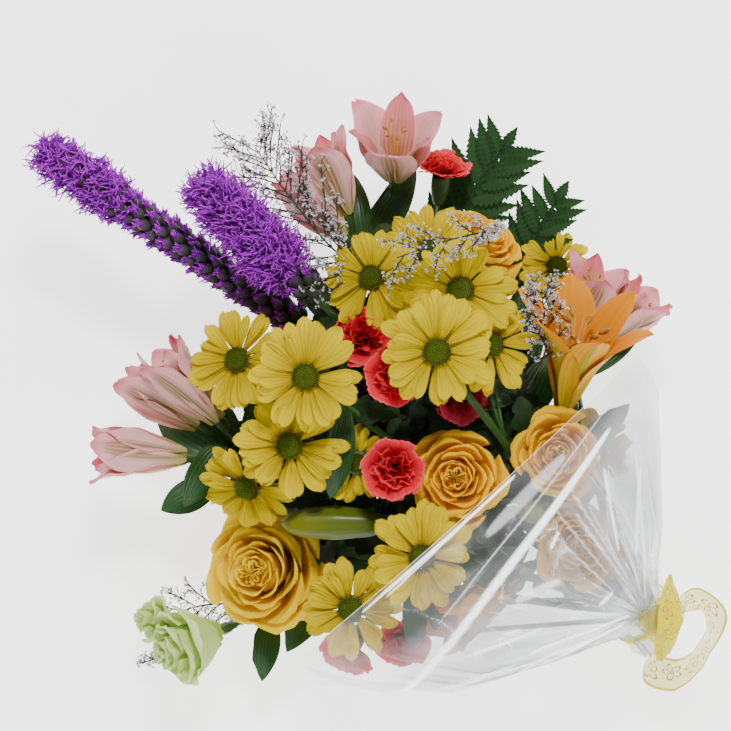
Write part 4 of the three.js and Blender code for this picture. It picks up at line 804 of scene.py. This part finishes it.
def shade_leaf(pieces, root, angle, rooms, draw):
    """One lobed leaf, kept under the blooms that it passes and off the table."""
    end = root + polar(draw(24, 38), angle, draw(-7, 5))
    for centre, clear, below in rooms:
        for point in (root, end):
            if float(np.hypot(*(point - centre)[:2])) < clear + 4:
                point[2] = min(point[2], centre[2] - below)
    root[2], end[2] = max(root[2], 7), max(end[2], 7)
    if undergrowth(*root[:2]) and undergrowth(*end[:2]):
        blade(pieces, root, end, draw(6, 10), 3, 2, draw(-0.5, 0.5), draw.random(), 0, 4)


# ---------- wrap
MOUTH_REACH = 16.5  # how much further the upper side of its mouth reaches over the blooms
# Stations along the wrap: its highest and lowest line (along, up), its half width, its shift to the left,
# and how evenly a station slopes from one line to the other.
STATIONS = [
    ((-25, 45), (-2, 10.5), 21, 0, 1),
    ((-15.6, 49), (4.4, 18), 18.5, 0, 1),
    ((-10.2, 53), (10.2, 21), 18.4, 0, 1),
    ((-4.5, 57), (15.5, 24.5), 18.8, 0, 1),
    ((6, 74), (26, 16), 34, 2, 1),
    ((22, 96), (40, 6), 58, 4, 0.7),
    ((52, 112), (76, 0), 98, 10, 0.3),
    ((84, 128), (120, 0), 124, 15, 0),
    ((96, 136), (180, 0), 132, 16, 0),
    ((106, 141), (242, 0), 137, 18, 0),
]
# Where blooms lift the film: the place (along, left), how high and how far round it.
BULGES = [(74, 80, 12, 30), (56, -10, 6, sqrt(1300))]
# Sharp folds over the top of the wrap, seen from above: from, to (along, left), half width, and the strength
# of its painted highlight, which also sets how high the fold stands.
CREASES = [
    ((89, -72), (81, 137), 2.4, 0.95),
    ((98, -85), (96, 78), 0.6, 0.28),
    ((116, -17), (134, 100), 0.9, 1),
    ((119, 0), (129, 84), 0.5, 0.8),
    ((101, -43), (107, 21), 3.6, 0.26),
    ((70, 82), (46, 43), 0.9, 0.9),
    ((9, 5), (42, 58), 0.8, 0.9),
    ((8, 11), (31, 61), 0.8, 0.8),
    ((69, 39), (57, 14), 2.6, 0.45),
    ((73, 4), (76, -7), 1, 0.9),
    ((28, 12), (27, 1), 0.9, 0.8),
    ((42, 86), (28, 44), 0.9, 0.6),
    ((66, 108), (44, 70), 1.6, 0.5),
    ((40, -20), (78, -52), 1, 0.6),
    ((30, -24), (60, -66), 1.2, 0.5),
]


def wrap():
    """The clear film, drawn together at the tie in sharp folds that run out toward its mouth."""
    pieces = Pieces()
    rows, cols = 250, 560
    last = len(STATIONS) - 1
    stations = np.array([(*high, *low, *others) for high, low, *others in STATIONS], float)
    place = np.linspace(0, last, rows)
    smooth = np.stack([np.interp(place, range(last + 1), line) for line in stations.T], axis=-1)
    for _ in range(8):
        smooth[1:-1] = (smooth[:-2] + 2 * smooth[1:-1] + smooth[2:]) / 4
    hx, hz, lx, lz, half, shift, even = smooth.T[..., None]
    angle = circle(cols) - PI / 2
    rise = np.sign(sin(angle)) * abs(sin(angle)) ** 0.85
    share = (1 + rise) / 2
    top = clip(rise * 3)
    pulled = column(rows)
    draw = Draw(7)
    folds = np.zeros((rows, cols))
    for _ in range(46):
        centre, width = draw(-PI / 2, 1.5 * PI), draw(0.012, 0.04)
        end = draw(0.45, 1)
        away = abs((angle - centre + PI) % (2 * PI) - PI)
        folds = folds + draw(-1, 1) * exp(-away / width) * clip((end - pulled) / 0.25)
    ripple = 1 + folds * (0.09 * exp(-3 * pulled) + 0.016)
    bent = np.where(rise >= 0, hx, hx + (lx - hx) * abs(rise) ** 1.3)
    x = (1 - even) * bent + even * (lx + (hx - lx) * share)
    dome = np.where(rise < 0, 0.17 * (2 * share) ** 2.6, 0.17 + 0.83 * clip(rise) ** 0.9)
    z = lz + (hz - lz) * ((1 - even) * dome + even * share) * np.where(rise > 0, ripple, 1)
    x = x + np.where(rise > -0.2, 12 * cos(angle), 0) * clip(place - 6)[:, None]
    y = shift + half * ripple * cos(angle)
    z = z + 1.6 * sin(0.11 * x + 0.05 * y) * clip(rise) + 1.1 * sin(0.07 * y - 0.13 * x + 2)
    mouth = pulled**5 * top
    x = x + np.clip(MOUTH_REACH + 0.075 * y, 0, 26) * mouth
    z = z + 3 * mouth
    for along, left, high, wide in BULGES:
        z = z + high * exp(-((x - along) ** 2 + (y - left) ** 2) / wide**2) * top
    # The folds get a painted highlight here: white lines that the film material shows as a glowing white.
    painted_highlight = np.zeros_like(x)
    for start, stop, wide, strength in CREASES + wrinkles(draw):
        dx, dy = np.subtract(stop, start)
        long = math.hypot(dx, dy)
        t = clip(((x - start[0]) * dx + (y - start[1]) * dy) / long**2)
        off = ((x - start[0]) * dy - (y - start[1]) * dx) / long
        taper = sqrt(clip(4 * t * (1 - t)))
        inside = (rise > 0) * clip(taper * 3)
        lit = exp(-((off / (wide * (0.3 + 0.7 * taper))) ** 6))
        painted_highlight = np.maximum(painted_highlight, strength * lit * inside)
        z = z + min(2.2, 1.2 * wide) * strength * exp(-abs(off) / (2 * wide)) * inside
    reach = np.hypot(x, y)
    beside = clip((abs(y - 6) - 20) / 35) * clip((104 - x) / 34)
    haze = 0.1 + 0.3 * exp(-((reach / 80) ** 5)) + 0.3 * exp(-((reach / 40) ** 4))
    haze = haze + 0.56 * beside + 0.2 * clip(folds)
    haze = haze + 0.04 * sin(0.09 * x + 0.07 * y) + 0.03 * sin(0.21 * x - 0.13 * y)
    haze = np.clip(haze * (0.25 + 0.75 * (rise > 0)), 0, 0.85)
    # rim paints a highlight along the rolled edge of the mouth; the across mark carries it with the folds'
    # painted highlight.
    rim = (pulled > 0.996) * (rise > -0.25) * 0.35
    xyz = np.stack([x, y, np.maximum(z, 0.35)], axis=-1)
    pieces.grid(xyz, pulled, clip(np.maximum(painted_highlight, rim)), haze, loop=True)
    return pieces


def wrinkles(draw):
    """Fine straight folds that run out from the tie, each with a faint painted highlight."""
    found = []
    for _ in range(14):
        heading = draw(-1.15, 1.15)
        near, far = draw(10, 40), draw(50, 100)
        way = polar(1, heading, 0)[:2]
        wide, strength = draw(0.6, 1), draw(0.15, 0.5)
        found.append((way * near, way * far + (0, draw(-6, 6)), wide, strength))
    return found


# ---------- ribbon
RIBBON_WIDTH = 27
KNOT = (-17.5, -8, 57.2)
LOOP_MIDDLE = (-31, -1, 0)
# The way of the loop (along, left, up) and how far the band leans over, from upright at 0 to flat at 1.
LOOP = [
    ((-13, -15, 55), 0.7),
    ((-17, -24, 52), 0.7),
    ((-32, -26, 45), 0.45),
    ((-43, -13, 35), 0.12),
    ((-46, 4, 27), 0.25),
    ((-41, 17, 22), 0.7),
    ((-29, 21, 25), 0.9),
    ((-22, 11, 40), 0.8),
]
FOLD = [(2, -29, 52), (-5, -19, 58), (-14, -7, 63), (-21, 5, 54), (-27, 15, 42)]
FLAP = [(-13, -6, 60), (-6, -1, 62), (2, 2.5, 72)]


def strides(path):
    """The length of each step of a path."""
    return np.linalg.norm(np.diff(path, axis=0), axis=1)


def bow_paths():
    """The middle of the ribbon: of its loop, of its fold and of its flap."""
    return curve([point for point, _ in LOOP], 110), curve(FOLD, 60), curve(FLAP, 36)


def ribbon_band(pieces, path, across, widths, dense=0):
    """A flat band along a path; across is the way its width runs, at each point or for all."""
    way = unit(np.gradient(path, axis=0))
    share = column(len(path))
    side = np.broadcast_to(np.asarray(across, float), path.shape)
    side = unit(side - way * np.sum(side * way, axis=1, keepdims=True))
    normal = np.cross(way, side)
    wide = np.interp(share, np.linspace(0, 1, len(widths)), widths)
    v = np.linspace(-1, 1, 11)[None, :]
    pucker = 0.9 * sin(v * 6 + share * 20) * clip((20 - wide) / 8) + 0.5 * sin(share * 17 + v)
    xyz = path[:, None] + side[:, None] * (v * wide / 2)[..., None] + normal[:, None] * pucker[..., None]
    xyz[..., 2] = np.maximum(xyz[..., 2], 0.4)
    run = np.concatenate([[0], np.cumsum(strides(path))])
    pieces.grid(xyz, run[:, None], v, dense)


def bow():
    """Sheer ribbon in one loop, with a dense fold and a short flap over the tie."""
    pieces = Pieces()
    loop, fold, flap = bow_paths()
    last = len(LOOP) - 1
    lean = np.interp(last * column(len(loop)), range(last + 1), [lean for _, lean in LOOP])
    out = unit((loop - LOOP_MIDDLE) * (1, 1, 0))
    full = [RIBBON_WIDTH] * 4
    ribbon_band(pieces, loop, out * lean + sqrt(1 - lean**2) * UP, (12, 24, *full, 22, 12))
    ribbon_band(pieces, fold, (0.83, 0.55, 0.2), (2, 11, 15, 13, 5), 1)
    ribbon_band(pieces, flap, (-0.55, 0.83, 0), (30, 28, 18, 3))
    return pieces


def ribbon_tie():
    """The ribbon's gathered turns round the tie, and its knot."""
    pieces = Pieces()
    axis = np.array([cos(TIE_PITCH), 0, sin(TIE_PITCH)])
    up = np.array([-sin(TIE_PITCH), 0, cos(TIE_PITCH)])
    turn, v = circle(48), np.linspace(-1, 1, 8)[:, None]
    for offset, radius in ((-1.2, 19.8), (1.2, 20.2)):
        swell = radius + 0.6 * sin(turn * 9 + v * 3)
        middle = axis * (offset + 2.4 * v)[..., None] + (0, 0, TIE_HEIGHT)
        pieces.grid(middle + ring((0, 1, 0), up, swell, turn), 0, 0.8 * v, 0, loop=True)
    for k in range(3):
        way = np.array([0.25 * (k - 1), 1, 0.3 * (k - 1)])
        pieces.ball(KNOT - way * 5.5, way, 12, 4.2, 12, 1, 0, 8)
    return pieces


# ---------- scene
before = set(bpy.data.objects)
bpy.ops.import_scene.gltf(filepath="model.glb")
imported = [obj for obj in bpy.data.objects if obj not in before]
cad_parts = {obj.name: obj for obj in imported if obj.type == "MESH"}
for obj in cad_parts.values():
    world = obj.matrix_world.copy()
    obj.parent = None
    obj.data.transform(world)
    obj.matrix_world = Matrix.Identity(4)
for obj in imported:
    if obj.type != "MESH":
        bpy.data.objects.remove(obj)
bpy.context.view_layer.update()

YELLOW = petal(
    "daisy_petal", {0: (0.28, 0.15, 0), 0.2: (0.56, 0.41, 0), 1: (0.73, 0.56, 0)},
    (0.38, 0.23, 0), 11, 0.5, rough=0.6, glow=0.22, tone=(0.25, (0.8, 0.63, 0)), bump=0.5, shine=0,
)
# The darker band at 0.85 of the way out, near the rim of the disc, is a painted ring of shade.
DISC = petal(
    "daisy_disc",
    {0: (0.1, 0.16, 0.005), 0.5: (0.13, 0.17, 0.005), 0.85: (0.07, 0.09, 0.003), 1: (0.16, 0.15, 0)},
    rough=0.75, glow=0.03,
)
GOLD = petal(
    "rose_petal",
    {0: (0.56, 0.16, 0), 0.5: (0.78, 0.36, 0), 0.85: (0.92, 0.53, 0), 1: (0.98, 0.64, 0)},
    (0.8, 0.4, 0), 30, 0.15, rough=0.6, tone=(0.3, (0.94, 0.57, 0)), glow=0.25, shine=0,
)
LEMON = petal(
    "rose_petal_pale", {0: (0.58, 0.22, 0), 0.5: (0.84, 0.5, 0), 1: (0.94, 0.7, 0)},
    (0.8, 0.48, 0), 30, 0.15, rough=0.6, tone=(0.3, (0.94, 0.7, 0)), glow=0.25, shine=0,
)
RED = petal(
    "carnation_petal",
    {0: (0.26, 0, 0.008), 0.6: (0.54, 0.006, 0.02), 0.88: (0.74, 0.02, 0.04), 1: (0.92, 0.09, 0.1)},
    (0.4, 0, 0.012), 22, 0.15, glow=0.2, tone=(0.3, (0.6, 0.008, 0.02)), shine=0.1,
)
DARK_RED = petal(
    "carnation_petal_dark", {0: (0.12, 0, 0.005), 0.85: (0.32, 0.004, 0.02), 1: (0.5, 0.03, 0.05)},
    (0.15, 0, 0.01), 22, 0.2, glow=0.15,
)
ORANGE = petal(
    "lily_inside", {0: (0.5, 0.18, 0), 0.5: (0.74, 0.27, 0), 1: (0.84, 0.32, 0.005)},
    (0.52, 0.09, 0), 14, 0.25, rough=0.45, glow=0.22, shine=0.1,
)
AMBER = petal(
    "lily_outside", {0: (0.4, 0.34, 0.01), 0.4: (0.76, 0.43, 0.005), 1: (0.86, 0.36, 0.01)},
    veins=26, rough=0.45, glow=0.25, stripe=(0.34, 0.34, 0.02), spread=0.3,
)
PINK = petal(
    "alstroemeria_inside",
    {0: (0.7, 0.55, 0.12), 0.3: (0.9, 0.54, 0.47), 0.85: (0.92, 0.48, 0.51), 1: (0.84, 0.26, 0.32)},
    (0.66, 0.1, 0.16), 20, 0.14, rough=0.45,
)
PINK_BACK = petal(
    "alstroemeria_outside",
    {0: (0.42, 0.4, 0.1), 0.3: (0.88, 0.54, 0.47), 0.85: (0.9, 0.45, 0.48), 1: (0.78, 0.22, 0.28)},
    veins=26, rough=0.45, glow=0.25, stripe=(0.26, 0.2, 0.04), spread=0.5,
)
BLUSH = petal(
    "alstroemeria_streaked", {0: (0.7, 0.52, 0.12), 0.5: (0.86, 0.38, 0.32), 1: (0.84, 0.22, 0.28)},
    (0.34, 0.01, 0.03), 26, 0.5, rough=0.45,
)
LIME = petal(
    "lisianthus_petal", {0: (0.24, 0.42, 0.04), 0.5: (0.56, 0.72, 0.2), 1: (0.78, 0.88, 0.42)},
    (0.35, 0.58, 0.05), 26, 0.3,
)
# The threads darken toward their base, deep in the head, and brighten at their tips: painted shade and
# painted highlight.
PURPLE = petal(
    "liatris_thread", {0: (0.1, 0, 0.16), 0.5: (0.34, 0.006, 0.5), 1: (0.62, 0.06, 0.82)},
    glow=0.12, tone=(0.4, (0.44, 0.02, 0.58)), shine=0.1,
)
BRACT = petal(
    "liatris_bract", {0: (0.02, 0.035, 0.015), 0.6: (0.04, 0.04, 0.03), 1: (0.1, 0.02, 0.14)}, glow=0.04,
)
BUD = petal(
    "lily_bud", {0: (0.04, 0.09, 0.01), 0.4: (0.09, 0.12, 0.008), 1: (0.15, 0.16, 0.008)},
    (0.05, 0.09, 0.005), 2.2, 0.5, rough=0.35, glow=0.05,
)
PAPER = petal(
    "limonium_floret", {0: (0.1, 0.05, 0.12), 0.4: (0.6, 0.56, 0.62), 1: (0.95, 0.94, 0.9)},
    glow=0.15, tone=(0.3, (0.12, 0.08, 0.2)),
)
TWIG = solid("limonium_twig", (0.02, 0.025, 0.015), (0.05, 0.05, 0.03), 200)
FROND = petal(
    "fern_leaflet", {0: (0.006, 0.026, 0.006), 1: (0.012, 0.05, 0.01)}, (0.022, 0.075, 0.015), 9, 0.25,
    rough=0.6, glow=0.1, tone=(0.3, (0.022, 0.075, 0.012)), bump=0.1, shine=0.15,
)
GREEN = solid("green_stem", (0.02, 0.06, 0.01), (0.04, 0.1, 0.015), 50, rough=0.5)
LEAF = petal(
    "leaf", {0: (0.02, 0.07, 0.012), 0.5: (0.014, 0.055, 0.012), 1: (0.022, 0.075, 0.015)},
    (0.05, 0.13, 0.03), 24, 0.35, rough=0.35, glow=0.1, tint=(0.4, (0.01, 0.04, 0.008)),
)
# shade_leaf is a darker copy of the leaf green: its near-black colour is painted shade for the leaves under
# the blooms.
SHADE_LEAF = petal(
    "shade_leaf", {0: (0.005, 0.018, 0.003), 1: (0.009, 0.032, 0.005)}, (0.018, 0.05, 0.008), 12, 0.3,
    rough=0.5, glow=0.05, tone=(0.4, (0.018, 0.055, 0.012)),
)
FILAMENT = solid("filament", (0.7, 0.45, 0.08), (0.8, 0.55, 0.15), 80)
ANTHER = solid("anther", (0.2, 0.08, 0.01), (0.4, 0.2, 0.03), 200)
FILM = clear_film("film")
ORGANZA = organza("organza")

# Each kind by its name: where its blooms are, what makes one, and its materials, one for each slot of its
# mesh.
KINDS = {
    "daisy": (DAISIES, daisy, [YELLOW, DISC, GREEN]),
    "rose": (ROSES, rose, [GOLD]),
    "carnation": (CARNATIONS, carnation, [RED, GREEN]),
    "lily": (LILIES, trumpet, [ORANGE, AMBER, ORANGE, AMBER, FILAMENT, ANTHER, GREEN]),
    "alstroemeria": (ALSTROEMERIAS, trumpet, [PINK, PINK_BACK, BLUSH, PINK_BACK, FILAMENT, ANTHER, GREEN]),
    "liatris": (SPIKES, liatris, [PURPLE, BRACT]),
    "limonium": (SPRAYS, sea_lavender, [PAPER, TWIG]),
    "fern": (FERNS, fern, [FROND]),
}
OWN_COLOURS = {"rose_1": [LEMON], "carnation_4": [DARK_RED, GREEN]}


def grow(make, name, materials, at=None, toward=0, lean=0, spin=0, ending="_bloom", **form):
    """Makes a piece. One with a place of its own is made round the origin and then set there."""
    pieces = make(Draw(name), **form)
    return pieces.build(name + ending, materials, placed(at, toward, lean, spin) if at else None)


def take(piece, node=None):
    """Puts a piece on the part, in the place of a node of the CAD part where it has one."""
    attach(piece, "root")
    if node:
        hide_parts(node)


for kind, (places, make, materials) in KINDS.items():
    for name, place in places.items():
        take(grow(make, name, OWN_COLOURS.get(name, materials), **place), name)
for name, place in BUDS.items():
    take(bud(**place).build(name, [BUD]))

opened = placed(TUBE_FOOT, LISIANTHUS["toward"], LISIANTHUS["lean"]) @ Vector((0, 0, TUBE_LENGTH))
take(grow(rose, "lisianthus", [LIME], at=tuple(opened), **LISIANTHUS), "lisianthus")
take(grow(rose, "lisianthus_second", [LIME], **SECOND_HEAD))

film = wrap().build("film", [FILM])
take(film, "film_wrap")

tied = bow().build("ribbon_bow", [ORGANZA])
take(tied, "ribbon")
tie = ribbon_tie().build("ribbon_tie", [ORGANZA])
take(tie)
cut = (RIBBON_WIDTH * MM, sum(float(strides(path).sum()) for path in bow_paths()) * MM)

take(foliage(Draw("leaves")).build("leaves", [SHADE_LEAF, LEAF]))

for name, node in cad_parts.items():
    if "stem" in name or "spray" in name:
        node.data.materials.clear()
        node.data.materials.append(GREEN)

# ---------- floor and light
floor_mesh = bpy.data.meshes.new("floor")
far = 4.0
floor_mesh.from_pydata([(-far, -far, 0), (far, -far, 0), (far, far, 0), (-far, far, 0)], [], [(0, 1, 2, 3)])
floor = bpy.data.objects.new("floor", floor_mesh)
paper = solid("floor", (0.93, 0.93, 0.93), (0.95, 0.95, 0.95), 3, rough=0.8, bump=0)
bright = paper.node_tree.nodes["Principled BSDF"].inputs
bright["Emission Color"].default_value = (1, 1, 1, 1)
bright["Emission Strength"].default_value = 2.2
floor_mesh.materials.append(paper)
bpy.context.collection.objects.link(floor)

world = bpy.data.worlds.new("studio")
world.use_nodes = True
sky = world.node_tree.nodes["Background"].inputs
sky["Color"].default_value = (1, 1, 1, 1)
sky["Strength"].default_value = 0.28
bpy.context.scene.world = world


def lamp(name, place, aim, power, wide, high):
    light = bpy.data.lights.new(name, "AREA")
    light.shape = "RECTANGLE"
    light.energy = power
    light.size = wide
    light.size_y = high
    obj = bpy.data.objects.new(name, light)
    obj.location = place
    obj.rotation_euler = (Vector(aim) - Vector(place)).to_track_quat("-Z", "Y").to_euler()
    bpy.context.collection.objects.link(obj)


lamp("key", (0.7, -0.9, 1.5), (0.05, 0, 0.05), 34, 0.3, 0.3)
lamp("fill", (-0.9, 0.8, 1.3), (0.05, 0, 0.05), 9, 1.2, 1.2)
lamp("strip_low", (-1, -0.2, 0.9), (-0.05, 0, 0.08), 8, 1.4, 0.07)
lamp("strip_side", (-0.5, 1, 0.8), (-0.05, 0, 0.08), 6, 1.4, 0.06)

camera = bpy.data.cameras.new("camera")
camera.lens = 152.8
camera.sensor_width = 36
viewer = bpy.data.objects.new("camera", camera)
right, up = Vector((-0.777, -0.629, 0)), Vector((0.629, -0.777, 0))
turned = Matrix((right, up, Vector((0, 0, 1)))).transposed()
viewer.matrix_world = Matrix.Translation(Vector(((221.3 - REST) * MM, -11.3 * MM, 1.9))) @ turned.to_4x4()
bpy.context.collection.objects.link(viewer)
bpy.context.scene.camera = viewer
